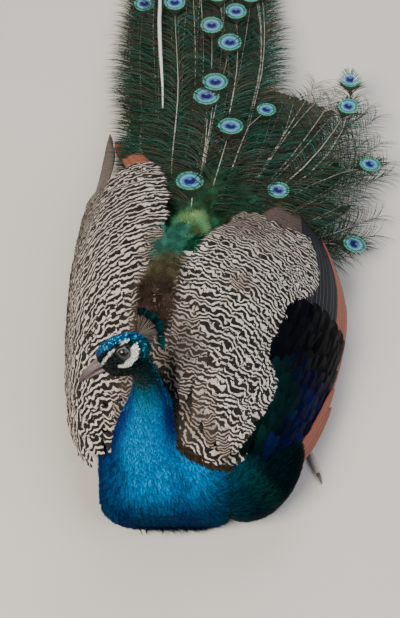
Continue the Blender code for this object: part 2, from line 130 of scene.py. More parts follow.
@dataclass
class Paint:
    """One material under construction, with short calls for the nodes that the finishes share.

    Args:
        name: The material's name.
    """

    name: str
    made: Material = field(init=False)
    tree: NodeTree = field(init=False)

    def __post_init__(self) -> None:
        """Makes the material with its Principled shader."""
        self.made = bpy.data.materials.new(self.name)
        self.made.use_nodes = True
        self.tree = self.made.node_tree

    def sum(self, step: str, *values: object) -> NodeSocket:
        """One arithmetic step on numbers or sockets."""
        return add_node(self.tree, "ShaderNodeMath", {"operation": step}, dict(enumerate(values))).outputs[0]

    def vector(self, step: str, inputs: dict, output: int | str = 0) -> NodeSocket:
        """One step on vectors or colours."""
        return add_node(self.tree, "ShaderNodeVectorMath", {"operation": step}, inputs).outputs[output]

    def read(self, name: str, output: str = "Vector") -> NodeSocket:
        """A value that the mesh carries under a name."""
        return add_node(self.tree, "ShaderNodeAttribute", {"attribute_name": name}).outputs[output]

    def parts(self, name: str) -> list[NodeSocket]:
        """The three numbers of a vector that the mesh carries."""
        return list(add_node(self.tree, "ShaderNodeSeparateXYZ", {}, {0: self.read(name)}).outputs)

    def tint(self) -> NodeSocket:
        """The colour that the mesh carries."""
        return self.read("tint", "Color")

    def where(self) -> NodeSocket:
        """The place on the piece."""
        return add_node(self.tree, "ShaderNodeTexCoord").outputs["Object"]

    def noise(
        self, scale: float, detail: float, settings: dict | None = None, **inputs: object
    ) -> NodeSocket:
        """A noise over the place, or over another input."""
        given = {**(inputs or {"Vector": self.where()}), "Scale": scale, "Detail": detail}
        return add_node(self.tree, "ShaderNodeTexNoise", settings, given).outputs[0]

    def span(
        self, value: NodeSocket, low: float, high: float, first: float, last: float, kind: str = "LINEAR"
    ) -> NodeSocket:
        """A value's range from low to high laid onto another from first to last."""
        given = {"Value": value, 1: low, 2: high, 3: first, 4: last}
        return add_node(self.tree, "ShaderNodeMapRange", {"interpolation_type": kind}, given).outputs[0]

    def blend(self, share: object, low: object, high: object) -> NodeSocket:
        """A colour between two others, low at share 0 and high at share 1."""
        given = {0: share, 6: low, 7: high}
        return add_node(self.tree, "ShaderNodeMix", {"data_type": "RGBA"}, given).outputs[2]

    def scaled(self, colour: NodeSocket, level: NodeSocket) -> NodeSocket:
        """A colour made brighter or darker."""
        return self.vector("SCALE", {0: colour, "Scale": level})

    def finish(self, colour: object, **constants: object) -> Material:
        """Sets the base colour and the shader's own constants.

        Args:
            colour: A colour or socket.
            constants: Values or sockets by the shader's input names, with underscores for spaces.

        Returns:
            The material.
        """
        shader = self.tree.nodes["Principled BSDF"]
        for name, value in {"Base_Color": colour, **constants}.items():
            socket = shader.inputs[name.replace("_", " ")]
            if isinstance(value, NodeSocket):
                self.tree.links.new(value, socket)
            else:
                socket.default_value = value
        return self.made


SOFT = "SMOOTHSTEP"


# ---------------------------------------------------------------- shapes shared by the pieces


def smooth_at(stations: Array, place: Array) -> Array:
    """Values on a smooth curve through a list of stations.

    Args:
        stations: Rows of a place followed by the values there.
        place: Where to read the curve.

    Returns:
        One row of values for each place.
    """
    keys = stations[:, 0]
    place = np.clip(np.atleast_1d(np.asarray(place, float)), keys[0], keys[-1])
    index = np.clip(np.searchsorted(keys, place, side="right") - 1, 0, len(keys) - 2)
    low = stations[index]
    high = stations[index + 1]
    before = stations[np.maximum(index - 1, 0)]
    after = stations[np.minimum(index + 2, len(keys) - 1)]
    span = (high[:, 0] - low[:, 0])[:, None]
    share = ((place - low[:, 0])[:, None]) / span
    slope_low = (high - before) / (high[:, :1] - before[:, :1]) * span
    slope_high = (after - low) / (after[:, :1] - low[:, :1]) * span
    cube = share ** 3
    square = share ** 2
    curve = (
        low * (2 * cube - 3 * square + 1)
        + high * (3 * square - 2 * cube)
        + slope_low * (cube - 2 * square + share)
        + slope_high * (cube - square)
    )
    return curve[:, 1:]


def circle(sides: int) -> Array:
    """The angles of a ring's points."""
    return np.linspace(0, 2 * math.pi, sides, endpoint=False)


def unit(vectors: Array) -> Array:
    """Vectors of length one."""
    return vectors / np.maximum(np.linalg.norm(vectors, axis=-1, keepdims=True), 1e-12)


# Body: y, middle x, half width, lowest z, highest z of the plumage.
BODY = np.array((
    (-0.185, -0.008, 0.038, 0.008, 0.050),
    (-0.175, -0.008, 0.074, -0.010, 0.078),
    (-0.144, -0.003, 0.088, -0.014, 0.105),
    (-0.100, 0.006, 0.099, -0.012, 0.128),
    (-0.040, 0.018, 0.108, -0.012, 0.158),
    (0.030, 0.024, 0.108, -0.012, 0.172),
    (0.100, 0.020, 0.092, -0.008, 0.158),
    (0.160, 0.012, 0.062, 0.018, 0.134),
    (0.205, 0.010, 0.034, 0.050, 0.112),
))
# Neck: z, middle x, middle y, half width, half depth.
NECK = np.array((
    (0.020, -0.012, -0.108, 0.070, 0.058),
    (0.060, -0.018, -0.108, 0.064, 0.056),
    (0.100, -0.0290, -0.105, 0.0450, 0.0450),
    (0.130, -0.0315, -0.100, 0.0315, 0.0340),
    (0.160, -0.0285, -0.093, 0.0245, 0.0270),
    (0.190, -0.0290, -0.086, 0.0185, 0.0210),
    (0.222, -0.0360, -0.079, 0.0145, 0.0160),
))
# Head: place along it, half width, height above and depth below its middle line.
HEAD = np.array((
    (-0.0310, 0.0045, 0.0030, 0.0060),
    (-0.0265, 0.0115, 0.0090, 0.0150),
    (-0.0180, 0.0160, 0.0160, 0.0235),
    (-0.0030, 0.0172, 0.0210, 0.0280),
    (0.0090, 0.0148, 0.0205, 0.0260),
    (0.0185, 0.0108, 0.0168, 0.0190),
    (0.0235, 0.0082, 0.0110, 0.0120),
))
THIGHS = (
    (np.array((0.087, -0.084, 0.044)), np.array((0.067, 0.096, 0.056))),
    (np.array((-0.052, -0.062, 0.040)), np.array((0.050, 0.084, 0.050))),
)
# The plumage that closes the hollow between the breast and the left thigh.
FLANK = (np.array((0.076, -0.124, 0.038)), np.array((0.062, 0.061, 0.054)))


@dataclass(frozen=True)
class HeadFrame:
    """Where the head is and which way it looks.

    Args:
        middle: The head's middle.
        forward: The way the bill points.
        eye_along: The eyes' place ahead of the middle.
        eye_above: Their place above it.
        eye_aside: Their place to either side of it.
        eye_radius: An eye's radius.
    """

    middle: Array = field(default_factory=lambda: np.array((-0.054, -0.077, 0.228)))
    forward: Array = field(default_factory=lambda: unit(np.array((-0.861, -0.334, -0.385))))
    eye_along: float = -0.0070
    eye_above: float = 0.0045
    eye_aside: float = 0.0112
    eye_radius: float = 0.0066

    @property
    def left(self) -> Array:
        """The way from the right eye to the left eye."""
        rough = np.array((0.099, -0.850, 0.517))
        return unit(rough - rough.dot(self.forward) * self.forward)

    @property
    def up(self) -> Array:
        """The way the crown points."""
        return np.cross(self.forward, self.left)

    def place(self, along: Array, above: Array, aside: Array) -> Array:
        """Points from places along, above and to the left of the head's middle."""
        parts = np.stack(np.broadcast_arrays(along, above, aside), -1)
        return self.middle + parts @ np.stack((self.forward, self.up, self.left))

    def inside(self, points: Array) -> Array:
        """Places along, above and to the left of the head's middle, of points."""
        return (points - self.middle) @ np.stack((self.forward, self.up, self.left)).T


HEAD_FRAME = HeadFrame()
UP = np.array((0.0, 0.0, 1.0))


# ---------------------------------------------------------------- meshes


def mesh_object(name: str, points: Array, faces: list | Array) -> Object:
    """A shown mesh object at the origin.

    Args:
        name: The piece's name.
        points: Its corners.
        faces: Lists of corner numbers.

    Returns:
        The object, linked to the scene.
    """
    mesh = bpy.data.meshes.new(name)
    mesh.from_pydata(np.asarray(points).tolist(), [], [list(map(int, face)) for face in faces])
    mesh.validate()
    made = bpy.data.objects.new(name, mesh)
    bpy.context.scene.collection.objects.link(made)
    return made


def grid_faces(rows: int, columns: int, closed: bool = False, start: int = 0) -> list[tuple[int, ...]]:
    """Faces between the neighbouring points of a grid.

    Args:
        rows: The grid's rows.
        columns: Its columns.
        closed: Whether the last column joins the first.
        start: The number of the grid's first point.

    Returns:
        Lists of four corner numbers.
    """
    faces = []
    for row in range(rows - 1):
        for column in range(columns if closed else columns - 1):
            follow = (column + 1) % columns
            low = start + row * columns
            faces.append((low + column, low + follow, low + columns + follow, low + columns + column))
    return faces


def loft(rings: Array, start: int = 0) -> tuple[Array, list]:
    """A closed tube through rings of points, with pointed ends.

    Args:
        rings: Rings by rows, sides and coordinates.
        start: The number of the tube's first point.

    Returns:
        Its points and faces.
    """
    rows, sides, _ = rings.shape
    points = np.concatenate((rings.reshape(-1, 3), rings[:1].mean(1), rings[-1:].mean(1)))
    faces = grid_faces(rows, sides, True, start)
    for ring, tip in ((0, rows * sides), ((rows - 1) * sides, rows * sides + 1)):
        for side in range(sides):
            corner = (start + ring + side, start + ring + (side + 1) % sides, start + tip)
            faces.append(corner if ring else corner[::-1])
    return points, faces


def sheet(name: str, top: Array, under: Array, rows: int, material: Material) -> Object:
    """A closed thin sheet between two grids of points.

    Args:
        name: The piece's name.
        top: The upper face's points, row by row.
        under: The lower face's points.
        rows: How many rows there are.
        material: The finish.

    Returns:
        The piece.
    """
    count = len(top)
    columns = count // rows
    faces = grid_faces(rows, columns) + [face[::-1] for face in grid_faces(rows, columns, False, count)]
    rim = list(range(columns)) + [r * columns + columns - 1 for r in range(1, rows)]
    rim += [(rows - 1) * columns + c for c in range(columns - 2, -1, -1)]
    rim += [r * columns for r in range(rows - 2, 0, -1)]
    faces += [(first, last, last + count, first + count) for first, last in zip(rim, rim[1:] + rim[:1])]
    made = mesh_object(name, np.concatenate((top, under)), faces)
    turn_outwards(made)
    return shade(made, material)


def shade(made: Object, material: Material, smooth: bool = True) -> Object:
    """Gives a piece its one material and its shading.

    Args:
        made: The piece.
        material: Its finish.
        smooth: Whether its faces are shaded as one curved surface.

    Returns:
        The piece.
    """
    made.data.materials.clear()
    made.data.materials.append(material)
    made.data.polygons.foreach_set("use_smooth", [smooth] * len(made.data.polygons))
    return made


def turn_outwards(made: Object) -> None:
    """Merges doubles and makes all faces of a closed piece look out.

    Args:
        made: The piece.
    """
    shape = bmesh.new()
    shape.from_mesh(made.data)
    bmesh.ops.remove_doubles(shape, verts=shape.verts[:], dist=1e-6)
    bmesh.ops.recalc_face_normals(shape, faces=shape.faces[:])
    shape.to_mesh(made.data)
    shape.free()


def applied(made: Object) -> Object:
    """Turns a piece with live modifiers into a plain mesh.

    Args:
        made: The piece.

    Returns:
        The same object, with its result as its mesh.
    """
    graph = bpy.context.evaluated_depsgraph_get()
    mesh = bpy.data.meshes.new_from_object(made.evaluated_get(graph))
    made.modifiers.clear()
    old = made.data
    made.data = mesh
    bpy.data.meshes.remove(old)
    mesh.name = made.name
    return made


def give(made: Object, name: str, values: Array, kind: str, domain: str = "POINT") -> None:
    """Stores an array on a mesh as a named attribute.

    Args:
        made: The piece.
        name: The attribute's name.
        values: One row for each element.
        kind: The attribute's data type.
        domain: What the rows belong to.
    """
    layer = made.data.attributes.new(name, kind, domain)
    key = {"FLOAT_VECTOR": "vector", "FLOAT2": "vector", "FLOAT_COLOR": "color"}.get(kind, "value")
    rows = np.ascontiguousarray(values, np.int32 if kind == "INT" else np.float32)
    layer.data.foreach_set(key, rows.ravel())


def give_tint(made: Object, tint: Array) -> None:
    """Stores one linear colour for each point."""
    give(made, "tint", np.column_stack((tint, np.ones(len(tint)))), "FLOAT_COLOR")


def lofted(name: str, rings: list | Array, material: Material, floor: float | None = None) -> Object:
    """A closed piece through rings of points.

    Args:
        name: The piece's name.
        rings: The rings, in order.
        material: Its finish.
        floor: The height that no point lies under, if there is one.

    Returns:
        The piece.
    """
    points, faces = loft(np.array(rings))
    if floor is not None:
        points[:, 2] = np.maximum(points[:, 2], floor)
    made = mesh_object(name, points, faces)
    turn_outwards(made)
    return shade(made, material)


def corners_of(made: Object) -> tuple[Array, Array]:
    """The points and point normals of a plain mesh.

    Args:
        made: The piece.

    Returns:
        The points and their normals, row by row.
    """
    mesh = made.data
    points = np.empty(len(mesh.vertices) * 3, np.float32)
    normals = np.empty_like(points)
    mesh.vertices.foreach_get("co", points)
    mesh.vertices.foreach_get("normal", normals)
    return points.reshape(-1, 3).astype(float), normals.reshape(-1, 3).astype(float)


def turns_of(along: Array, above: Array) -> Array:
    """Turns that lay a template's +Y along one direction and its +Z near another.

    Args:
        along: Where each copy points.
        above: Where each copy's upper face looks.

    Returns:
        One quaternion for each row, as w, x, y, z.
    """
    y = unit(along)
    x = unit(np.cross(y, above))
    z = np.cross(x, y)
    m = np.stack((x, y, z), -1)
    trace = m[:, 0, 0] + m[:, 1, 1] + m[:, 2, 2]
    options = np.stack((
        np.stack((1 + trace, m[:, 2, 1] - m[:, 1, 2], m[:, 0, 2] - m[:, 2, 0], m[:, 1, 0] - m[:, 0, 1]), -1),
        np.stack((m[:, 2, 1] - m[:, 1, 2], 1 + m[:, 0, 0] - m[:, 1, 1] - m[:, 2, 2],
                  m[:, 0, 1] + m[:, 1, 0], m[:, 0, 2] + m[:, 2, 0]), -1),
        np.stack((m[:, 0, 2] - m[:, 2, 0], m[:, 0, 1] + m[:, 1, 0],
                  1 - m[:, 0, 0] + m[:, 1, 1] - m[:, 2, 2], m[:, 1, 2] + m[:, 2, 1]), -1),
        np.stack((m[:, 1, 0] - m[:, 0, 1], m[:, 0, 2] + m[:, 2, 0], m[:, 1, 2] + m[:, 2, 1],
                  1 - m[:, 0, 0] - m[:, 1, 1] + m[:, 2, 2]), -1),
    ), 1)
    best = np.argmax(np.linalg.norm(options, axis=2), axis=1)
    return unit(options[np.arange(len(best)), best])


# ---------------------------------------------------------------- geometry nodes


@dataclass
class Spread:
    """Points that each carry one copy of a template, with its turn, size and colours.

    Args:
        points: Where each copy's root is.
        along: Where each copy points.
        above: Where its upper face looks.
        size: Its width, length and height.
        tint: Its linear colour.
        root: Its place on the OFBake map.
        kind: The number of its template.
        mark: Three numbers that its finish reads, such as its bars' phase, strength and period.
        eye: The middle of the train eye that it belongs to.
    """

    points: Array
    along: Array
    above: Array
    size: Array
    tint: Array
    root: Array
    kind: Array | None = None
    mark: Array | None = None
    eye: Array | None = None

    def __len__(self) -> int:
        """How many copies there are."""
        return len(self.points)


@dataclass
class GeometryTool:
    """A geometry node tree with named inputs, built once and then run on many pieces.

    Args:
        name: The tree's name.
        inputs: The kinds of its inputs, by name, beside the geometry.
        fill: Adds the tree's nodes between its inputs and its result.
        tree: The tree, once it is built.
    """

    name: str
    inputs: dict[str, str]
    fill: Callable[[NodeTree, object], NodeSocket]
    tree: NodeTree | None = None

    def build(self) -> NodeTree:
        """Builds the tree once.

        Returns:
            The tree.
        """
        if self.tree is None:
            self.tree = bpy.data.node_groups.new(self.name, "GeometryNodeTree")
            for name, kind in {"Geometry": "Geometry", **self.inputs}.items():
                self.tree.interface.new_socket(name, in_out="INPUT", socket_type="NodeSocket" + kind)
            self.tree.interface.new_socket("Geometry", in_out="OUTPUT", socket_type="NodeSocketGeometry")
            given = add_node(self.tree, "NodeGroupInput").outputs
            add_node(self.tree, "NodeGroupOutput", {}, {"Geometry": self.fill(self.tree, given)})
        return self.tree

    def run(self, made: Object, **values: object) -> Object:
        """Runs the tree on a piece and keeps the result as its plain mesh.

        Args:
            made: The piece.
            values: The named inputs.

        Returns:
            The same piece.
        """
        modifier = made.modifiers.new(self.name, "NODES")
        modifier.node_group = self.build()
        for item in self.tree.interface.items_tree:
            if item.in_out == "INPUT" and item.name in values:
                modifier[item.identifier] = values[item.name]
        return applied(made)


def named(tree: NodeTree, name: str, kind: str = "FLOAT_VECTOR") -> NodeSocket:
    """A named attribute of the geometry."""
    return add_node(tree, "GeometryNodeInputNamedAttribute", {"data_type": kind}, {"Name": name}).outputs[0]


def dressed(tree: NodeTree, given: object, shape: NodeSocket) -> NodeSocket:
    """The shape in the tree's finish."""
    inputs = {"Geometry": shape, "Material": given["Finish"]}
    return add_node(tree, "GeometryNodeSetMaterial", {}, inputs).outputs[0]


def copy_nodes(tree: NodeTree, given: object) -> NodeSocket:
    """Puts templates on points, turns them into one mesh and lays each copy's patch on the OFBake map.

    Args:
        tree: The tree.
        given: Its inputs.

    Returns:
        The result.
    """
    parts = add_node(tree, "GeometryNodeCollectionInfo", {"transform_space": "ORIGINAL"}, {
        "Collection": given["Templates"], "Separate Children": True, "Reset Children": True})
    copied = add_node(tree, "GeometryNodeInstanceOnPoints", {}, {
        "Points": given["Geometry"], "Instance": parts.outputs[0], "Pick Instance": True,
        "Instance Index": named(tree, "kind", "INT"), "Rotation": named(tree, "turn", "QUATERNION"),
        "Scale": named(tree, "size")})
    plain = add_node(tree, "GeometryNodeRealizeInstances", {}, {"Geometry": copied.outputs[0]})
    patch = named(tree, "UVMap")
    steps = (("SUBTRACT", (0.5, 0.5, 0.0)), ("SCALE", given["Patch"]), ("ADD", named(tree, "root")))
    for step, other in steps:
        inputs = {0: patch, "Scale" if step == "SCALE" else 1: other}
        patch = add_node(tree, "ShaderNodeVectorMath", {"operation": step}, inputs).outputs[0]
    mapped = add_node(tree, "GeometryNodeStoreNamedAttribute", {"data_type": "FLOAT2", "domain": "CORNER"}, {
        "Geometry": plain.outputs[0], "Name": "OFBake", "Value": patch})
    return dressed(tree, given, mapped.outputs[0])


def tube_nodes(tree: NodeTree, given: object) -> NodeSocket:
    """Turns edges with a radius into round closed tubes.

    Args:
        tree: The tree.
        given: Its inputs.

    Returns:
        The result.
    """
    curve = add_node(tree, "GeometryNodeMeshToCurve", {}, {"Mesh": given["Geometry"]})
    ring = add_node(tree, "GeometryNodeCurvePrimitiveCircle", {}, {
        "Resolution": given["Sides"], "Radius": 1.0})
    tube = add_node(tree, "GeometryNodeCurveToMesh", {}, {
        "Curve": curve.outputs[0], "Profile Curve": ring.outputs[0], "Fill Caps": True,
        "Scale": named(tree, "radius", "FLOAT")})
    plain = add_node(tree, "GeometryNodeRealizeInstances", {}, {"Geometry": tube.outputs[0]})
    return dressed(tree, given, plain.outputs[0])


def point_nodes(tree: NodeTree, given: object) -> NodeSocket:
    """Scatters evenly spaced points over one area of the skin.

    Args:
        tree: The tree.
        given: Its inputs.

    Returns:
        The result.
    """
    same = add_node(tree, "FunctionNodeCompare", {"data_type": "INT", "operation": "EQUAL"}, {
        2: named(tree, "area", "INT"), 3: given["Area"]})
    spots = add_node(tree, "GeometryNodeDistributePointsOnFaces", {"distribute_method": "POISSON"}, {
        "Mesh": given["Geometry"], "Selection": same.outputs[0], "Distance Min": given["Spacing"],
        "Density Max": 400000.0, "Seed": given["Seed"]})
    kept = add_node(tree, "GeometryNodeStoreNamedAttribute", {"data_type": "FLOAT_VECTOR"}, {
        "Geometry": spots.outputs["Points"], "Name": "facing", "Value": spots.outputs["Normal"]})
    return add_node(tree, "GeometryNodePointsToVertices", {}, {"Points": kept.outputs[0]}).outputs[0]


COPIES = GeometryTool(
    "copies_on_points", {"Templates": "Collection", "Patch": "Float", "Finish": "Material"}, copy_nodes)
TUBES = GeometryTool("tubes_along_edges", {"Sides": "Int", "Finish": "Material"}, tube_nodes)
POINTS = GeometryTool("points_on_skin", {"Area": "Int", "Spacing": "Float", "Seed": "Int"}, point_nodes)
PATCH = 0.003


def copies(
    name: str, spread: Spread, templates: list[Object], material: Material,
    patch: float = PATCH
) -> Object:
    """One mesh of template copies at the points of a spread.

    Args:
        name: The piece's name.
        spread: Where each copy goes, and its colours.
        templates: The small meshes that are copied, in the order of the spread's kinds.
        material: The finish.
        patch: How wide a copy is on the OFBake map.

    Returns:
        The piece, as a plain mesh.
    """
    group = bpy.data.collections.new(name + "_templates")
    for index, template in enumerate(templates):
        template.name = f"{name}_{index:02d}"
        group.objects.link(template)
    made = mesh_object(name, spread.points, [])
    count = len(spread)
    give(made, "turn", turns_of(spread.along, spread.above), "QUATERNION")
    give(made, "size", spread.size, "FLOAT_VECTOR")
    give(made, "kind", spread.kind if spread.kind is not None else np.zeros(count), "INT")
    give(made, "root", np.column_stack((spread.root, np.zeros(count))), "FLOAT_VECTOR")
    give_tint(made, spread.tint)
    give(made, "mark", spread.mark if spread.mark is not None else np.zeros((count, 3)), "FLOAT_VECTOR")
    if spread.eye is not None:
        give(made, "eye", spread.eye, "FLOAT_VECTOR")
        give(made, "axis", unit(spread.along), "FLOAT_VECTOR")
    COPIES.run(made, Templates=group, Patch=patch, Finish=material)
    for extra in ("turn", "kind", "root"):
        if extra in made.data.attributes:
            made.data.attributes.remove(made.data.attributes[extra])
    for template in templates:
        bpy.data.objects.remove(template, do_unlink=True)
    bpy.data.collections.remove(group)
    return made


def tubes(
    name: str, paths: list[Array], radii: list[Array], tints: list[Array],
    material: Material, sides: int = 6
) -> Object:
    """Round tapered tubes along paths, as one mesh.

    Args:
        name: The piece's name.
        paths: The points of each tube's middle line.
        radii: The tube's radius at each of those points.
        tints: The colour at each of those points.
        material: The finish.
        sides: How many sides each tube has.

    Returns:
        The piece, as a plain mesh.
    """
    edges = []
    start = 0
    for path in paths:
        edges += [(start + step, start + step + 1) for step in range(len(path) - 1)]
        start += len(path)
    mesh = bpy.data.meshes.new(name)
    mesh.from_pydata(np.concatenate(paths).tolist(), edges, [])
    made = bpy.data.objects.new(name, mesh)
    bpy.context.scene.collection.objects.link(made)
    give(made, "radius", np.concatenate(radii), "FLOAT")
    give_tint(made, np.concatenate(tints))
    TUBES.run(made, Sides=sides, Finish=material)
    made.data.polygons.foreach_set("use_smooth", [True] * len(made.data.polygons))
    return made


# ---------------------------------------------------------------- feather templates


def strip_template(strips: list[tuple[Array, Array]], camber: float = 0.0, arch: float = 0.0) -> Object:
    """A small feather of flat strips, as a template that isn't linked to the scene.

    Args:
        strips: For each strip its middle points, with height as third value, and its half widths.
        camber: How far the sides hang below the middle line.
        arch: How far the middle of the length stands above its ends.

    Returns:
        The template, one unit long along +Y, with its flat shape as its UV map.
    """
    points: list[Array] = []
    faces = []
    for middle, half in strips:
        start = len(points)
        ahead = np.gradient(middle[:, :2], axis=0)
        side = np.column_stack((-ahead[:, 1], ahead[:, 0]))
        side /= np.maximum(np.linalg.norm(side, axis=1, keepdims=True), 1e-9)
        for index in range(len(middle)):
            offset = np.append(side[index] * half[index], 0.0)
            if index == len(middle) - 1:
                points.append(middle[index])
            else:
                points += [middle[index] + offset, middle[index] - offset]
        for index in range(len(middle) - 2):
            low = start + 2 * index
            faces.append((low, low + 1, low + 3, low + 2))
        low = start + 2 * (len(middle) - 2)
        faces.append((low, low + 1, low + 2))
    flat = np.array(points)
    shaped = flat.copy()
    shaped[:, 2] += -camber * (2 * flat[:, 0]) ** 2 + arch * 4 * flat[:, 1] * (1 - flat[:, 1])
    mesh = bpy.data.meshes.new("feather")
    mesh.from_pydata(shaped.tolist(), [], faces)
    layer = mesh.uv_layers.new(name="UVMap")
    for loop in mesh.loops:
        x, y, _ = flat[loop.vertex_index]
        layer.data[loop.index].uv = (0.5 + x, y)
    for polygon in mesh.polygons:
        polygon.use_smooth = True
    return bpy.data.objects.new("feather", mesh)


def lock_template(blades: int, spread_deg: float, width: float, lift: float) -> Object:
    """A tuft of a few pointed blades that fan from one root.

    Args:
        blades: How many blades.
        spread_deg: The angle between the outer blades.
        width: A blade's half width.
        lift: How far the tips stand off.

    Returns:
        The template.
    """
    strips = []
    for blade in range(blades):
        share = blade / max(blades - 1, 1) - 0.5
        turn = math.radians(spread_deg) * share
        reach = 1.0 - 0.22 * abs(share) * 2
        steps = np.array((0.0, 0.5, 1.0)) * reach
        middle = np.column_stack((np.sin(turn) * steps, np.cos(turn) * steps,
                                  lift * steps + 0.03 * (blade % 2)))
        strips.append((middle, np.array((width * 0.7, width, 0.0))))
    return strip_template(strips, arch=0.06)


def vane_template(
    barbs: int, wide: float, seed: int, tip: float, angle_deg: float, camber: float, ragged: float
) -> Object:
    """A contour feather of overlapping barb strips on both sides of its shaft line.

    Args:
        barbs: How many strips there are on each side.
        wide: Half the feather's width, as a share of its length.
        seed: The seed of its small irregularities.
        tip: Where along the feather it is widest.
        angle_deg: The strips' angle to the shaft.
        camber: How far the sides hang down.
        ragged: How uneven the strips' ends are.

    Returns:
        The template.
    """
    rng = np.random.default_rng(seed)
    strips = []
    for index in range(barbs):
        share = index / (barbs - 1)
        root = 0.02 + 0.86 * share
        bulge = math.sin(math.pi / 2 * min(1.0, (0.12 + share) / tip)) ** 0.7
        closing = 1.0 if share < tip else math.sqrt(max(0.0, 1 - ((share - tip) / (1.08 - tip)) ** 2))
        for side in (-1, 1):
            reach = wide * bulge * closing * (1 + ragged * rng.uniform(-1, 1))
            angle = math.radians(angle_deg * (1 - 0.55 * share) + rng.uniform(-2, 2))
            steps = np.array((0.0, 0.55, 1.0))
            ahead = reach / math.tan(angle) * (steps * 0.8 + steps ** 2 * 0.2)
            middle = np.column_stack((side * reach * steps, root + np.minimum(ahead, 0.34),
                                      0.004 * rng.uniform(0, 1, 3)))
            middle[:, 1] = np.minimum(middle[:, 1], 1.0)
            half = 0.62 * 0.86 / barbs
            strips.append((middle, np.array((half, half * 1.05, 0.0))))
    return strip_template(strips, camber, 0.05)


def cells(count: int) -> tuple[Array, float]:
    """Places on the OFBake map for feathers that each have a cell of their own, and a cell's width.

    Args:
        count: How many feathers there are.

    Returns:
        One place for each feather, and the width of a cell.
    """
    side = max(1, int(math.ceil(math.sqrt(count))))
    cell = np.arange(count)
    return np.column_stack(((cell % side + 0.5) / side, (cell // side + 0.5) / side)), 0.9 / side


def blades(
    name: str, lines: Array, above: Array, wide: Array, tint: Array, mark: Array, material: Material
) -> Object:
    """Long closed feather vanes that follow curved lines, as one mesh.

    Args:
        name: The piece's name.
        lines: The points of each vane's shaft line, feather by feather.
        above: The way its face looks at each of those points.
        wide: Each vane's greatest half width.
        tint: Each vane's colour.
        mark: Each vane's bars: phase, strength and period.
        material: The finish.

    Returns:
        The piece.
    """
    count, rows = lines.shape[:2]
    upper = 9
    across = np.concatenate((np.linspace(-1, 1, upper), np.linspace(1, -1, upper)[1:-1]))
    sides = len(across)
    face = np.where(np.arange(sides) < upper, 1.0, -1.0) * (1 - across ** 2)
    step = np.linspace(0, 1, rows)
    closing = np.sqrt(np.maximum(0.004, 1 - step ** 7))
    profile = np.minimum(1, 0.02 + step / 0.16) ** 0.6 * closing
    rng = np.random.default_rng(count)
    points, faces, where = [], [], []
    for index in range(count):
        half = wide[index] * profile * rng.uniform(0.93, 1.0, rows)
        ahead = unit(np.gradient(lines[index], axis=0))
        side = unit(np.cross(ahead, above[index]))
        up = np.cross(side, ahead)
        reach = half[:, None, None]
        arch = 0.0005 * face[None, :, None] - 0.10 * (across ** 2)[None, :, None] * reach
        rings = lines[index][:, None] + side[:, None] * (across[None, :, None] * reach) + up[:, None] * arch
        made_points, made_faces = loft(rings, sum(len(part) for part in points))
        points.append(made_points)
        faces += made_faces
        at = np.column_stack((np.tile(0.5 + 0.5 * across, rows), np.repeat(step, sides)))
        where.append(np.vstack((at, np.tile((0.5, 0.5), (len(made_points) - len(at), 1)))))
    sizes = [len(part) for part in points]
    made = mesh_object(name, np.concatenate(points), faces)
    roots, patch = cells(count)
    flat = np.concatenate(where)
    baked = np.repeat(roots, sizes, axis=0) + (flat - 0.5) * patch
    long = np.linalg.norm(np.diff(lines, axis=1), axis=2).sum(1)
    give(made, "UVMap", np.column_stack((flat, np.zeros(len(flat)))), "FLOAT_VECTOR")
    give(made, "size", np.repeat(np.column_stack((wide * 2, long, long)), sizes, axis=0), "FLOAT_VECTOR")
    give_tint(made, np.repeat(tint, sizes, axis=0))
    give(made, "mark", np.repeat(mark, sizes, axis=0), "FLOAT_VECTOR")
    corner = np.empty(len(made.data.loops), dtype=np.int32)
    made.data.loops.foreach_get("vertex_index", corner)
    made.data.uv_layers.new(name="OFBake").data.foreach_set("uv", baked[corner].astype(np.float32).ravel())
    turn_outwards(made)
    return shade(made, material)


# ---------------------------------------------------------------- finishes


@dataclass(frozen=True)
class FeatherFinish:
    """Barbs of one feather coat: the carried tint, darker at each root as painted shade, with a soft or a
    metal gloss.

    Args:
        name: The material's name.
        roughness: How dull the barbs are.
        metallic: How much of the colour comes from the barbs' structure, which gives a metal glint.
        depth: How bright a tuft's root is beside its tip: painted shade where the tufts overlap.
        fleck: How much the tint wanders from barb to barb.
        edge: The colour of the gloss on barbs seen from the side.
    """

    name: str
    roughness: float = 0.55
    metallic: float = 0.0
    depth: float = 0.45
    fleck: float = 0.25
    edge: str = "4A4A46"

    def build(self) -> Material:
        """Makes the material.

        Returns:
            The material.
        """
        paint = Paint(self.name)
        # Painted shade: each tuft darkens towards its root, where the tufts above it cover it.
        root = paint.span(paint.parts("UVMap")[1], 0.0, 0.8, self.depth, 1.0)
        flecks = paint.span(paint.noise(750.0, 2.0), 0.25, 0.75, 1 - self.fleck, 1 + self.fleck)
        colour = paint.scaled(paint.tint(), paint.sum("MULTIPLY", root, flecks))
        return paint.finish(colour, Roughness=self.roughness, Metallic=self.metallic,
                            Specular_IOR_Level=0.05, Specular_Tint=rgba(self.edge))


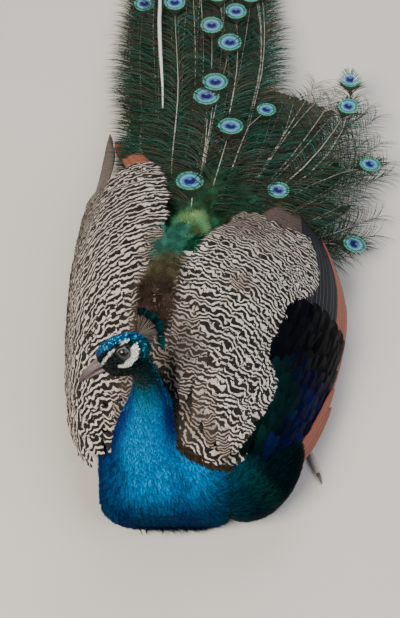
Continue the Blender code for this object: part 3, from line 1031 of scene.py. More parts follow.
@dataclass(frozen=True)
class BarredFinish:
    """Covert and quill vanes crossed by wavy cream bars, with fine barb lines aslant to the shaft.

    Args:
        name: The material's name.
        pale: The bars' colour.
        wander: How far the bars wander from feather to feather, in metres.
        gloss: How strongly the barbs shine.
        rim: How bright a vane's edge is beside its middle.
    """

    name: str = "barred_feather_vane"
    pale: str = "E0D6CA"
    wander: float = 0.0080
    gloss: float = 0.15
    # rim: How bright a vane's edge is beside its middle: painted shade in the gaps between overlapping vanes.
    rim: float = 0.62

    def build(self) -> Material:
        """Makes the material. The mark attribute holds a bar's phase, strength and period.

        Returns:
            The material.
        """
        paint = Paint(self.name)
        place, length, mark = (paint.parts(name) for name in ("UVMap", "size", "mark"))
        along = paint.sum("MULTIPLY", place[1], length[1])
        middle = paint.sum("ABSOLUTE", paint.sum("SUBTRACT", place[0], 0.5))
        aside = paint.sum("MULTIPLY", middle, length[0])
        bent = paint.sum("SUBTRACT", along, paint.sum("MULTIPLY", aside, 0.28))
        for scale, reach in ((70.0, self.wander * 1.1), (260.0, self.wander * 0.20)):
            drift = paint.sum("SUBTRACT", paint.noise(scale, 1.0), 0.5)
            bent = paint.sum("ADD", bent, paint.sum("MULTIPLY", drift, reach * 2))
        turns = paint.sum("ADD", paint.sum("DIVIDE", bent, mark[2]), mark[0])
        wave = paint.sum("SINE", paint.sum("MULTIPLY", turns, 2 * math.pi))
        strength = paint.sum("MULTIPLY", paint.span(wave, 0.10, 0.66, 0.0, 1.0, SOFT), mark[1])
        colour = paint.blend(strength, paint.tint(), rgba(self.pale))
        barb = paint.sum("SUBTRACT", along, paint.sum("MULTIPLY", aside, 1.1))
        lines = paint.noise(900.0, 1.0, {"noise_dimensions": "1D"}, W=paint.sum("ADD", barb, mark[0]))
        # Painted shade: each vane darkens towards its edges, between it and its neighbours.
        level = paint.sum("MULTIPLY", paint.span(lines, 0.25, 0.75, 0.70, 1.20),
                          paint.span(middle, 0.25, 0.50, 1.0, self.rim, SOFT))
        return paint.finish(paint.scaled(colour, level), Roughness=0.6, Specular_IOR_Level=self.gloss)


@dataclass(frozen=True)
class OcellusFinish:
    """The eye of a train feather: indigo, lavender blue, turquoise and bronze rings, partly painted sheen,
    with a metal glint.

    Args:
        name: The material's name.
        half_long: Half the eye's length along its feather.
        half_wide: Half its width.
    """

    name: str = "train_eye_barbs"
    half_long: float = 0.0205
    half_wide: float = 0.0175

    def build(self) -> Material:
        """Makes the material. Each barb carries its eye's middle and its feather's direction.

        Returns:
            The material.
        """
        paint = Paint(self.name)
        away = paint.vector("SUBTRACT", {0: paint.where(), 1: paint.read("eye")})
        axis = paint.read("axis")
        across = paint.vector("CROSS_PRODUCT", {0: axis, 1: (0, 0, 1)})
        kind, scale, _ = paint.parts("mark")
        y, x = (
            paint.sum("DIVIDE", paint.vector("DOT_PRODUCT", {0: away, 1: way}, "Value"),
                      paint.sum("MULTIPLY", scale, half))
            for way, half in ((axis, self.half_long), (across, self.half_wide)))
        grain = paint.noise(420.0, 1.0)
        rough = paint.sum("MULTIPLY", paint.sum("SUBTRACT", grain, 0.5), 0.22)
        colour = paint.tint()
        # The disc is its own blue lightened to lavender by a painted highlight; it is greyer where the eye's
        # painted bronze sheen is strong.
        disc = paint.blend(kind, rgba("4E7CB4"), rgba("5E7494"))
        # Each ring: middle, long, wide, inner and outer soft edge, colour.
        rings = (
            (0.0, 1.0, 1.0, 1.10, 1.40, rgba("2C3018")), (0.0, 1.0, 1.0, 1.00, 1.12, rgba("46B498")),
            (0.0, 1.0, 1.0, 0.88, 1.00, rgba("3C5444")), (-0.02, 0.88, 0.88, 0.86, 1.04, rgba("44849C")),
            (-0.06, 0.72, 0.76, 0.84, 1.06, rgba("7CCCC8")), (-0.07, 0.62, 0.67, 0.82, 1.10, disc),
            (-0.10, 0.36, 0.46, 0.76, 1.18, rgba("161A5A")), (0.16, 0.15, 0.16, 0.60, 1.20, disc))
        for middle, long, wide, low, high, shade_of in rings:
            up = paint.sum("DIVIDE", paint.sum("SUBTRACT", y, middle), long)
            side = paint.sum("DIVIDE", x, wide)
            square = paint.sum("ADD", paint.sum("MULTIPLY", up, up), paint.sum("MULTIPLY", side, side))
            far = paint.sum("ADD", paint.sum("SQRT", square), rough)
            colour = paint.blend(paint.span(far, low, high, 1.0, 0.0, SOFT), colour, shade_of)
        level = paint.span(grain, 0.25, 0.75, 0.70, 1.15)
        return paint.finish(
            paint.scaled(colour, level), Roughness=0.50, Metallic=0.15, Specular_IOR_Level=0.08)


@dataclass(frozen=True)
class PlainFinish:
    """A finish whose colour comes from the carried tint, or from two colours that a fine noise mixes.

    Args:
        name: The material's name.
        low: The darker colour, or nothing for the carried tint.
        high: The lighter colour.
        scale: The noise's scale per metre.
        roughness: How dull it is.
        coat: The strength of a clear wet or horny layer.
        bump: The height of the noise's relief, in metres.
        subsurface: How much light passes under the surface.
    """

    name: str
    low: str = ""
    high: str = ""
    scale: float = 300.0
    roughness: float = 0.5
    coat: float = 0.0
    bump: float = 0.0
    subsurface: float = 0.0

    def build(self) -> Material:
        """Makes the material.

        Returns:
            The material.
        """
        paint = Paint(self.name)
        noise = paint.noise(self.scale, 3.0)
        if self.low:
            colour = paint.blend(noise, rgba(self.low), rgba(self.high))
        else:
            colour = paint.scaled(paint.tint(), paint.span(noise, 0.3, 0.7, 0.85, 1.12))
        more = {}
        if self.bump:
            given = {"Height": noise, "Distance": self.bump, "Strength": 0.8}
            more["Normal"] = add_node(paint.tree, "ShaderNodeBump", {}, given).outputs[0]
        if self.subsurface:
            more.update(Subsurface_Weight=self.subsurface, Subsurface_Scale=0.002)
        return paint.finish(colour, Roughness=self.roughness, Coat_Weight=self.coat, **more)


# ---------------------------------------------------------------- plumage colours of the body


def stroke(inside: Array, line: tuple[tuple[float, float, float], ...], soft: float = 0.0005) -> Array:
    """How much of a place on the side of the head a painted stroke covers.

    Args:
        inside: Places along, above and left of the head's middle.
        line: The stroke's middle line, as along, above and half width.
        soft: How soft its edge is.

    Returns:
        One share from 0 to 1 for each place.
    """
    cover = np.zeros(len(inside))
    for first, last in zip(np.array(line[:-1]), np.array(line[1:])):
        way = last[:2] - first[:2]
        share = np.clip(((inside[:, :2] - first[:2]) @ way) / way.dot(way), 0, 1)
        gap = np.linalg.norm(inside[:, :2] - first[:2] - share[:, None] * way, axis=1)
        half = first[2] + (last[2] - first[2]) * share
        cover = np.maximum(cover, ramp(half - gap, -soft, soft))
    return cover


def from_neck(points: Array) -> Array:
    """How far places lie from the neck's middle line, level with it."""
    ring = smooth_at(NECK, np.clip(points[:, 2], 0.02, 0.222))
    return np.hypot(points[:, 0] - ring[:, 0], points[:, 1] - ring[:, 1])


@dataclass(frozen=True)
class Markings:
    """The colours of the bare skin and short plumage, for any place on the head, neck and body.

    A field of colour is named for its place. On the head's side, crown_edge is the crown's lower edge, as
    places along and above the head's middle. The white strokes add half their width to such places: patch
    lies under the eye, stripe runs from the bill to above the eye, and dash lies behind and above it.
    """

    crown: str = "054C92"
    crown_glint: str = "1CC0DC"
    face: str = "031416"
    white: str = "F2F1EC"
    throat: str = "02201F"
    neck_top: str = "04747C"
    neck_front_painted_sheen: str = "0094DA"
    neck_side_painted_shade: str = "03368C"
    painted_crease_shade: str = "03134C"
    breast: str = "022A4E"
    flank: str = "03161A"
    back_green: str = "1E6042"
    back_olive: str = "4E4A26"
    belly: str = "0C1A16"
    crown_edge: tuple = ((-0.0320, 0.0010), (-0.0240, 0.0077), (-0.0170, 0.0124), (-0.0040, 0.0148),
                         (0.0050, 0.0146), (0.0140, 0.0130), (0.0240, 0.0100))
    patch: tuple = ((-0.0216, 0.0062, 0.0008), (-0.0176, 0.0012, 0.0040), (-0.0124, -0.0050, 0.0034),
                    (-0.0028, -0.0079, 0.0030), (0.0044, -0.0063, 0.0018))
    stripe: tuple = ((0.0225, 0.0016, 0.0007), (0.0135, 0.0066, 0.0010), (0.0044, 0.0108, 0.0012),
                     (-0.0010, 0.0122, 0.0005))
    dash: tuple = ((-0.0096, 0.0134, 0.0008), (-0.0168, 0.0114, 0.0007))

    def white_on_head(self, inside: Array) -> Array:
        """How white the plumage is beside the eye, from 0 to 1, at places in the head's own frame."""
        cover = np.maximum(stroke(inside, self.patch), stroke(inside, self.stripe))
        return np.maximum(cover, stroke(inside, self.dash)) * (np.abs(inside[:, 2]) > 0.004)

    def on_crown(self, inside: Array) -> Array:
        """How far places lie on the crown, from 0 to 1."""
        edge = smooth_at(np.array(self.crown_edge), inside[:, 0])[:, 0]
        return ramp(inside[:, 1] - edge, -0.0008, 0.0012)

    def head(self, points: Array) -> Array:
        """The head's colours.

        Args:
            points: Places on the head.

        Returns:
            One linear colour for each place.
        """
        inside = HEAD_FRAME.inside(points)
        along, above, _ = inside.T
        rear = ramp(-along, 0.014, 0.026)
        tint = mix(self.face, "04384A", rear)
        tint = mix(tint, self.throat, ramp(-above, 0.012, 0.024) * (1 - 0.5 * rear))
        tint = mix(tint, self.crown, self.on_crown(inside))
        around_eye = np.hypot((along - HEAD_FRAME.eye_along) / 1.15, above - HEAD_FRAME.eye_above)
        tint = mix(tint, "14201E", ramp(-around_eye, -0.0095, -0.0080))
        return mix(tint, self.white, self.white_on_head(inside))

    def neck(self, points: Array, normals: Array) -> Array:
        """The neck's and breast's colours, with painted sheen and shade that follow the way the plumage
        faces.

        Args:
            points: Places on the plumage.
            normals: The way it faces there.

        Returns:
            One linear colour for each place.
        """
        x, _, z = points.T
        # Painted sheen and shade: where the plumage faces forward it is painted bright, and on its sides
        # dark.
        front = ramp(-normals[:, 1] + 0.30 * normals[:, 2] - 0.25 * np.abs(normals[:, 0]), 0.05, 0.80)
        tint = mix(self.neck_side_painted_shade, self.neck_front_painted_sheen, front)
        tint = mix(tint, self.neck_top, ramp(z, 0.145, 0.200) * (0.35 + 0.55 * front))
        collar = ramp(z, 0.166, 0.190) * (0.30 + 0.60 * ramp(normals[:, 1], -0.8, -0.2))
        tint = mix(tint, "04343C", collar)
        tint = mix(tint, self.throat, ramp(z, 0.186, 0.202) * 0.92)
        tint = mix(tint, self.breast, ramp(-z, -0.110, -0.050) * 0.95)
        # Painted shade: the breast darkens where it curves under towards the floor.
        tint = tint * (1 - 0.40 * ramp(-z, -0.045, -0.005))[:, None]
        # Painted shade in the plumage's folds: thin dark lines across the lower neck.
        painted_crease_shade = ramp(np.abs(np.sin(x * 46 + z * 9 + 0.6)), 0.78, 1.0) * ramp(z, 0.15, 0.09)
        tint = mix(tint, self.painted_crease_shade, painted_crease_shade * 0.35)
        return mix(tint, "04407C", ramp(normals[:, 1], -0.1, 0.5) * 0.8)

    def body(self, points: Array, normals: Array) -> Array:
        """The body's colours behind the breast.

        Args:
            points: Places on the plumage.
            normals: The way it faces there.

        Returns:
            One linear colour for each place.
        """
        x, y, z = points.T
        tint = mix(self.flank, "06302C", ramp(np.sin(y * 60 + x * 50), 0.3, 1.0))
        tint = mix(tint, "043E50", ramp(-x, -0.105, -0.050) * ramp(-y, 0.05, 0.09) * 0.9)
        back = mix(self.back_olive, self.back_green, ramp(y, -0.02, 0.08))
        tint = mix(tint, back, ramp(normals[:, 2], 0.2, 0.7) * ramp(z, 0.09, 0.13))
        return mix(tint, self.belly, ramp(-normals[:, 2], 0.3, 0.9))

    def colour(self, points: Array, normals: Array) -> Array:
        """The colours anywhere on the skin.

        Args:
            points: Places on the skin.
            normals: The way it faces there.

        Returns:
            One linear colour for each place.
        """
        x, y, z = points.T
        on_head = self.head_share(points, HEAD_FRAME.inside(points))
        tint = mix(self.neck(points, normals), self.head(points), on_head)
        edge = -0.128 + 0.035 * ramp(z, 0.02, 0.10)
        behind = ramp(y, edge, edge + 0.03) * np.maximum(ramp(-z, -0.150, -0.115), ramp(y, -0.03, 0.01))
        behind = np.maximum(behind, ramp(x, 0.022, 0.072) * ramp(-z, -0.12, -0.09))
        behind = behind * ramp(from_neck(points), 0.046, 0.066)
        tint = mix(tint, self.body(points, normals), behind)
        return mix(tint, "3C3226", self.on_mantle(points).astype(float))

    def on_mantle(self, points: Array) -> Array:
        """Whether places lie under the barred feathers between the neck and the left wing.

        Args:
            points: Places on the skin.

        Returns:
            One truth value for each place.
        """
        x, y, z = points.T
        front = np.interp(x, (-0.040, -0.030, -0.016, -0.004, 0.002, 0.015, 0.035, 0.051),
                          (-0.038, -0.050, -0.058, -0.076, -0.128, -0.136, -0.143, -0.143))
        low = np.interp(x, (-0.001, 0.001), (0.120, 0.055))
        return (x > -0.040) & (x < 0.062) & (y > front) & (y < 0.03) & (z > low)

    def head_share(self, points: Array, inside: Array) -> Array:
        """How far places belong to the head rather than the neck, from 0 to 1."""
        below = ramp(inside[:, 1], -0.036, -0.024)
        return ramp(points[:, 2], 0.190, 0.200) * ramp(inside[:, 0], -0.034, -0.026) * below


MARKINGS = Markings()


# ---------------------------------------------------------------- skin


@dataclass
class Skin:
    """One closed skin under the feathers of the head, neck, body and thighs.

    Args:
        body_depth: How far the body's skin lies under the plumage's outline.
        neck_depth: The same on the neck.
        head_depth: The same on the head.
        grain: The size of the skin's faces.
        lowest: How high the skin stays over the floor.
    """

    body_depth: float = 0.0075
    neck_depth: float = 0.0050
    head_depth: float = 0.0016
    grain: float = 0.0026
    lowest: float = 0.0035

    def body_rings(self) -> Array:
        """Rings of the body, inset by its depth.

        Returns:
            The rings, from the breast to the rump.
        """
        y = np.linspace(BODY[0, 0] + self.body_depth, BODY[-1, 0], 44)[:, None]
        middle, half, low, high = smooth_at(BODY, y[:, 0]).T[..., None]
        x = middle + np.maximum(half - self.body_depth, 0.006) * np.cos(circle(48))
        tall = np.maximum((high - low) / 2 - self.body_depth, 0.004)
        return self.rings(x, y, np.maximum((low + high) / 2 + tall * np.sin(circle(48)), self.lowest))

    def neck_rings(self) -> Array:
        """Rings of the neck, inset by its depth.

        Returns:
            The rings, from the breast to the head.
        """
        z = np.linspace(NECK[0, 0], NECK[-1, 0], 30)[:, None]
        x, y, wide, deep = smooth_at(NECK, z[:, 0]).T[..., None]
        return self.rings(x + (wide - self.neck_depth) * np.cos(circle(40)),
                          y + (deep - self.neck_depth) * np.sin(circle(40)), z)

    def head_rings(self) -> Array:
        """Rings of the head, inset by its depth.

        Returns:
            The rings, from the nape to the bill.
        """
        along = np.linspace(HEAD[0, 0] + self.head_depth, HEAD[-1, 0] - 0.0008, 30)[:, None]
        half, above, below = smooth_at(HEAD, along[:, 0]).T[..., None]
        tall = (above + below) / 2 - self.head_depth
        return HEAD_FRAME.place(along, (above - below) / 2 + tall * np.sin(circle(36)),
                                (half - self.head_depth) * np.cos(circle(36)))

    def thigh_rings(self, middle: Array, half: Array) -> Array:
        """Rings of one thigh's soft plumage, inset by the body's depth.

        Args:
            middle: The thigh's middle.
            half: Half its size along x, y and z.

        Returns:
            The rings, from front to rear.
        """
        turn = np.linspace(-math.pi / 2 + 0.06, math.pi / 2 - 0.06, 22)[:, None]
        size = half - self.body_depth
        x = middle[0] + size[0] * np.cos(turn) * np.cos(circle(32))
        z = middle[2] + size[2] * np.cos(turn) * np.sin(circle(32))
        return self.rings(x, middle[1] + size[1] * np.sin(turn), np.maximum(z, self.lowest))

    def rings(self, x: Array, y: Array, z: Array) -> Array:
        """Rings of points from their coordinates by ring and by angle."""
        return np.stack(np.broadcast_arrays(x, y, z), -1)

    def build(self, material: Material) -> Object:
        """Builds the skin and paints it, darker than the plumage as painted shade under the tufts.

        Args:
            material: The skin's finish.

        Returns:
            The piece.
        """
        points: list[Array] = []
        faces: list = []
        start = 0
        forms = [self.body_rings(), self.neck_rings(), self.head_rings()]
        forms += [self.thigh_rings(middle, half) for middle, half in (*THIGHS, FLANK)]
        for rings in forms:
            more, sides = loft(rings, start)
            points.append(more)
            faces += sides
            start += len(more)
        made = mesh_object("skin", np.concatenate(points), faces)
        turn_outwards(made)
        remesh = made.modifiers.new("One_skin", "REMESH")
        remesh.mode = "VOXEL"
        remesh.voxel_size = self.grain
        remesh.use_smooth_shade = True
        relax = made.modifiers.new("Relax", "SMOOTH")
        relax.factor = 0.5
        relax.iterations = 4
        applied(made)
        shade(made, material)
        places, normals = corners_of(made)
        # Painted shade: the skin between the tufts gets 0.6 of the plumage's colour.
        give_tint(made, MARKINGS.colour(places, normals) * 0.6)
        return made


class Area(Enum):
    """The parts of the coat that are laid with their own size of tuft."""

    BODY = 0
    NECK = 1
    HEAD = 2


@dataclass
class Flow:
    """The lie of the plumage: from the bill over the head, down the neck and back along the body."""

    spine: Array = field(default_factory=lambda: np.array((
        (-0.036, -0.070, 0.236), (-0.016, -0.068, 0.243), (-0.022, -0.072, 0.222), (-0.028, -0.080, 0.195),
        (-0.028, -0.092, 0.160), (-0.027, -0.103, 0.120), (-0.020, -0.118, 0.080), (-0.014, -0.128, 0.045),
        (-0.008, -0.110, 0.012))))
    back: Array = field(default_factory=lambda: np.array((
        (-0.012, -0.070, 0.090), (0.005, -0.030, 0.090), (0.016, 0.020, 0.090), (0.020, 0.080, 0.080),
        (0.012, 0.160, 0.070), (0.008, 0.240, 0.050))))

    def samples(self) -> tuple[Array, Array]:
        """Places along the body's middle lines and the direction there.

        Returns:
            The places and one unit vector for each.
        """
        places = []
        ways = []
        for line in (self.spine, self.back):
            for first, last in zip(line[:-1], line[1:]):
                places.append((first + last) / 2)
                ways.append(unit(last - first))
        return np.array(places), np.array(ways)

    def at(self, points: Array, normals: Array) -> Array:
        """The direction of the plumage, flat on the skin.

        Args:
            points: Places on the skin.
            normals: The way it faces there.

        Returns:
            One unit vector for each place.
        """
        places, ways = self.samples()
        gap = np.linalg.norm(points[:, None] - places[None], axis=2)
        weight = 1 / (gap ** 3 + 1e-7)
        lie = (weight[:, :, None] * ways[None]).sum(1) / weight.sum(1, keepdims=True)
        inside = HEAD_FRAME.inside(points)
        on_head = (ramp(points[:, 2], 0.192, 0.206) * ramp(inside[:, 0], -0.040, -0.022))[:, None]
        back = -HEAD_FRAME.forward - 0.25 * HEAD_FRAME.up
        lie = lie * (1 - on_head) + back * on_head
        x, y, z = points.T
        flank = ramp(x, 0.025, 0.060) * ramp(-y, 0.02, 0.07) * ramp(-z, -0.14, -0.10)
        lie = lie * (1 - flank[:, None]) + np.array((0.72, 0.66, -0.10)) * flank[:, None]
        flat = lie - (lie * normals).sum(1, keepdims=True) * normals
        weak = np.linalg.norm(flat, axis=1) < 0.15
        down = np.array((0.0, 0.6, -1.0))
        spare = down - (normals @ down)[:, None] * normals
        flat[weak] += spare[weak]
        return unit(flat)


FLOW = Flow()


def skin_map(points: Array) -> Array:
    """Places on an unwrap of the skin: the body, neck and head each cut open and laid flat.

    Args:
        points: Places on the skin.

    Returns:
        One place from 0 to 1 in two directions for each.
    """
    x, y, z = points.T
    along, above, aside = HEAD_FRAME.inside(points).T
    head = (z > 0.198) & (along > -0.040)
    body = ~head & ((y > -0.055) | (z < 0.085))
    middle = smooth_at(BODY, y)[:, 0]
    ring = smooth_at(NECK, z)

    def cut_open(up: Array, side: Array, place: Array, corner: tuple[float, float], size: tuple) -> Array:
        """One form's surface as a flat field of the unwrap."""
        around = np.arctan2(up, side) / (2 * math.pi) + 0.5
        return np.column_stack((corner[0] + size[0] * around, corner[1] + size[1] * place))

    on_body = cut_open(z - 0.07, x - middle, (y + 0.19) / 0.40, (0.02, 0.02), (0.56, 0.96))
    on_neck = cut_open(y - ring[:, 1], x - ring[:, 0], (z - 0.02) / 0.20, (0.61, 0.02), (0.37, 0.54))
    on_head = cut_open(above, aside, (along + 0.04) / 0.065, (0.61, 0.60), (0.37, 0.38))
    return np.clip(np.where(head[:, None], on_head, np.where(body[:, None], on_body, on_neck)), 0.003, 0.997)


def over_box(points: Array) -> Array:
    """Each point's place within the points' own box in plan, for the UV map."""
    plan = points[:, :2]
    return np.clip((plan - plan.min(0)) / np.ptp(plan, axis=0), 0.003, 0.997)


def points_on(skin: Object, area: Area, spacing: float, seed: int) -> tuple[Array, Array]:
    """Evenly spaced places on one area of the skin.

    Args:
        skin: The skin, with its areas as face attribute.
        area: The area.
        spacing: The least distance between two places.
        seed: The scatter's seed.

    Returns:
        The places and the way the skin faces there.
    """
    probe = bpy.data.objects.new("probe", skin.data.copy())
    bpy.context.scene.collection.objects.link(probe)
    POINTS.run(probe, Area=area.value, Spacing=spacing, Seed=seed)
    count = len(probe.data.vertices)
    places = np.empty(count * 3, np.float32)
    facing = np.empty(count * 3, np.float32)
    probe.data.vertices.foreach_get("co", places)
    probe.data.attributes["facing"].data.foreach_get("vector", facing)
    mesh = probe.data
    bpy.data.objects.remove(probe, do_unlink=True)
    bpy.data.meshes.remove(mesh)
    return places.reshape(-1, 3).astype(float), unit(facing.reshape(-1, 3).astype(float))


@dataclass
class Coat:
    """The short plumage of the head, neck and body, in tufts that follow its lie.

    Args:
        seed: The seed of all its small irregularities.
        spacing: The distance between the tufts of each area.
        shape: Each area's tuft width as a share of its length, and how far a tuft stands off.
    """

    seed: int = 7
    spacing: dict[Area, float] = field(default_factory=lambda: {
        Area.BODY: 0.0036, Area.NECK: 0.0018, Area.HEAD: 0.0012})
    shape: dict[Area, tuple[float, float]] = field(default_factory=lambda: {
        Area.BODY: (0.55, 0.16), Area.NECK: (0.62, 0.17), Area.HEAD: (0.8, 0.34)})

    def mark_areas(self, skin: Object) -> None:
        """Stores on the skin's faces which area they belong to.

        Args:
            skin: The skin.
        """
        mesh = skin.data
        centres = np.empty(len(mesh.polygons) * 3, np.float32)
        mesh.polygons.foreach_get("center", centres)
        centres = centres.reshape(-1, 3).astype(float)
        inside = HEAD_FRAME.inside(centres)
        area = np.full(len(centres), Area.BODY.value)
        near_neck = (from_neck(centres) < 0.075) & (centres[:, 2] > 0.06)
        area[(centres[:, 1] < -0.10) | near_neck] = Area.NECK.value
        area[(centres[:, 2] > 0.200) & (inside[:, 0] > -0.040)] = Area.HEAD.value
        give(skin, "area", area, "INT", "FACE")

    def spread(self, skin: Object, area: Area) -> Spread:
        """Where the tufts of one area go.

        Args:
            skin: The skin.
            area: The area.

        Returns:
            The spread.
        """
        rng = np.random.default_rng(self.seed + area.value)
        places, facing = points_on(skin, area, self.spacing[area], self.seed + area.value)
        lie = FLOW.at(places, facing)
        count = len(places)
        side = np.cross(lie, facing)
        lie = unit(lie + side * rng.normal(0, 0.10, (count, 1)))
        share, stand = self.shape[area]
        keep = (places[:, 2] > 0.0045) & ~MARKINGS.on_mantle(places - (0.0, 0.014, 0.0))
        if area is Area.HEAD:
            inside = HEAD_FRAME.inside(places)
            length = 0.0026 + 0.0014 * ramp(-inside[:, 0], 0.0, 0.03)
            eye = np.hypot(inside[:, 0] - HEAD_FRAME.eye_along, inside[:, 1] - HEAD_FRAME.eye_above)
            keep = (eye > 0.0078) & (inside[:, 0] < 0.0222)
        elif area is Area.NECK:
            length = 0.0070 + 0.0070 * ramp(-places[:, 2], -0.13, -0.05)
        else:
            length = 0.019 + 0.009 * ramp(places[:, 0], 0.03, 0.07) * ramp(-places[:, 1], 0.06, 0.10)
        wide = length * share
        length = length * rng.uniform(0.85, 1.15, count)
        along = unit(lie + facing * stand)
        low = places[:, 2] + along[:, 2] * length < 0.001
        along[low, 2] = np.maximum(along[low, 2], 0.0)
        along = unit(along)
        tint = MARKINGS.colour(places + lie * (length * 0.5)[:, None], facing)
        speck = rng.uniform(0, 1, count)
        if area is Area.HEAD:
            dark = 1 - MARKINGS.white_on_head(inside)
            crown = MARKINGS.on_crown(inside) * dark
            tint = mix(tint, MARKINGS.crown_glint, crown * ramp(speck, 0.45, 0.95))
            tint = tint * (1 - crown * 0.85 * ramp(-speck, -0.45, 0.0))[:, None]
            nape = (1 - crown) * ramp(-inside[:, 0], 0.012, 0.024) * dark
            tint = mix(tint, "0E9AA8", nape * ramp(speck, 0.6, 1.0))
            tint = tint * rng.uniform(0.85, 1.15, (count, 1))
        else:
            nape = ramp(facing[:, 1], -0.5, 0.2) * ramp(places[:, 2], 0.12, 0.16) * (places[:, 1] < -0.05)
            tint = mix(tint, MARKINGS.crown_glint, nape * ramp(speck, 0.7, 1.0))
            tint = tint * rng.uniform(0.60, 1.40, (count, 1)) ** (1 + nape)[:, None]
        roots = places - facing * (0.0002 if area is Area.HEAD else 0.0006)
        size = np.column_stack((wide, length, length))
        return Spread(roots[keep], along[keep], facing[keep], size[keep], tint[keep],
                      skin_map(places)[keep], rng.integers(0, 3, count)[keep])

    def templates(self, area: Area) -> list[Object]:
        """Three small tufts for one area.

        Args:
            area: The area.

        Returns:
            The templates.
        """
        if area is Area.HEAD:
            return [vane_template(3, 0.5, i, 0.6, 55.0, 0.10, 0.05) for i in range(3)]
        count, half = (3, 0.12) if area is Area.BODY else (4, 0.085)
        return [lock_template(count, 20 + 5 * i, half, 0.02 * i) for i in range(3)]

    def build(self, skin: Object, finish: Material) -> list[Object]:
        """Builds the coat's pieces.

        Args:
            skin: The skin they grow on.
            finish: The feathers' finish.

        Returns:
            One piece for each area.
        """
        self.mark_areas(skin)
        made = []
        for area in Area:
            spread = self.spread(skin, area)
            made.append(copies(f"coat_{area.name.lower()}", spread, self.templates(area), finish))
        return made


@dataclass
class Mantle:
    """The barred feathers on the body between the neck and the left wing.

    Args:
        finishes: The feathers' finishes.
        spacing: The distance between their roots.
        seed: The seed of their small irregularities.
    """

    finishes: "Feathers"
    spacing: float = 0.0068
    seed: int = 31

    def build(self, skin: Object) -> Object:
        """Builds the feathers on the skin.

        Args:
            skin: The skin they grow on.

        Returns:
            The piece.
        """
        found = [points_on(skin, area, self.spacing, self.seed) for area in (Area.NECK, Area.BODY)]
        places, facing = (np.concatenate(column) for column in zip(*found))
        keep = MARKINGS.on_mantle(places)
        places, facing = places[keep], facing[keep]
        rng = np.random.default_rng(self.seed)
        count = len(places)
        lie = np.array((0.717, 0.697, 0.0)) + rng.normal(0, 0.08, (count, 3))
        lie = unit(lie - (lie * facing).sum(1, keepdims=True) * facing)
        length = rng.uniform(0.022, 0.029, count)
        brown = ramp(-places[:, 0], -0.020, -0.008)
        tint = mix("241F1B", "3A3024", brown) * rng.uniform(0.7, 1.3, (count, 1))
        period = np.full(count, 0.0066)
        phase = (places[:, 0] * 0.717 + places[:, 1] * 0.697) / period + rng.uniform(-0.15, 0.15, count)
        mark = np.column_stack((phase, 0.92 * (1 - 0.45 * brown), period))
        spread = Spread(places - facing * 0.0008, unit(lie + facing * 0.13), facing,
                        np.column_stack((length * 0.70, length, length)), tint, cells(count)[0],
                        rng.integers(0, 3, count), mark)
        templates = [vane_template(12, 0.5, 80 + i, 0.66, 46.0, 0.10, 0.05) for i in range(3)]
        return copies("mantle_barred", spread, templates, self.finishes.barred, cells(count)[1])


# ---------------------------------------------------------------- head: bill, eyes, crest


def side_name(side: int) -> str:
    """The name of a side: left for 1, right for -1."""
    return "left" if side > 0 else "right"


@dataclass
class Bill:
    """The horn bill: an upper half with a hooked tip over a lower half, and two nostrils.

    Args:
        upper: The upper half's stations: place along the head, half width, height above and depth below.
        lower: The lower half's stations.
    """

    upper: tuple = (
        (0.0205, 0.0074, 0.0072, 0.0022), (0.0229, 0.0072, 0.0070, 0.0022), (0.0300, 0.0062, 0.0058, 0.0018),
        (0.0380, 0.0048, 0.0040, 0.0026), (0.0460, 0.0032, 0.0010, 0.0046), (0.0520, 0.0010, -0.0036, 0.0066))
    lower: tuple = (
        (0.0205, 0.0066, -0.0026, 0.0080), (0.0229, 0.0064, -0.0028, 0.0078),
        (0.0310, 0.0052, -0.0030, 0.0066), (0.0400, 0.0034, -0.0040, 0.0066),
        (0.0470, 0.0012, -0.0056, 0.0072))

    def half(self, name: str, stations: tuple, material: Material) -> Object:
        """One half of the bill.

        Args:
            name: The piece's name.
            stations: Place along, half width, height above and depth below the head's middle line.
            material: Its finish.

        Returns:
            The piece.
        """
        table = np.array(stations)
        places = np.linspace(table[0, 0], table[-1, 0], 26)
        rows = smooth_at(table, places)
        angles = circle(28)
        rings = []
        for along, (wide, above, below) in zip(places, rows):
            centre = (above - below) / 2
            tall = (above + below) / 2
            shape = np.sign(np.sin(angles)) * np.abs(np.sin(angles)) ** 0.85
            rings.append(HEAD_FRAME.place(along, centre + tall * shape, wide * np.cos(angles) * 0.98))
        made = lofted(name, rings, material)
        inside = HEAD_FRAME.inside(corners_of(made)[0])
        tint = mix("706265", "40363B", ramp(inside[:, 0], 0.030, 0.050) * 0.8)
        gape = ramp(-np.abs(inside[:, 1] + 0.0024), -0.0009, -0.0002)
        give_tint(made, mix(tint, "3A3032", gape * 0.75))
        return made

    def nostril(self, side: int, material: Material) -> Object:
        """A dark slit on one side of the upper half.

        Args:
            side: 1 for the left side, -1 for the right side.
            material: Its finish.

        Returns:
            The piece.
        """
        turns = np.linspace(-math.pi / 2 + 0.2, math.pi / 2 - 0.2, 7)
        angles = circle(10)
        rings = [
            HEAD_FRAME.place(0.0285 + 0.0024 * math.sin(turn),
                             0.0028 + 0.0008 * math.cos(turn) * np.sin(angles),
                             side * (0.0056 + 0.0005 * math.cos(turn) * np.cos(angles)))
            for turn in turns]
        return lofted(f"nostril_{side_name(side)}", rings, material)

    def build(self, horn: Material, dark: Material) -> dict[str, list[Object]]:
        """Builds the bill.

        Args:
            horn: The bill's finish.
            dark: The nostrils' finish.

        Returns:
            The pieces by the node they replace.
        """
        upper = self.half("bill_upper_horn", self.upper, horn)
        lower = self.half("bill_lower_horn", self.lower, horn)
        return {"bill_upper": [upper, self.nostril(1, dark), self.nostril(-1, dark)], "bill_lower": [lower]}


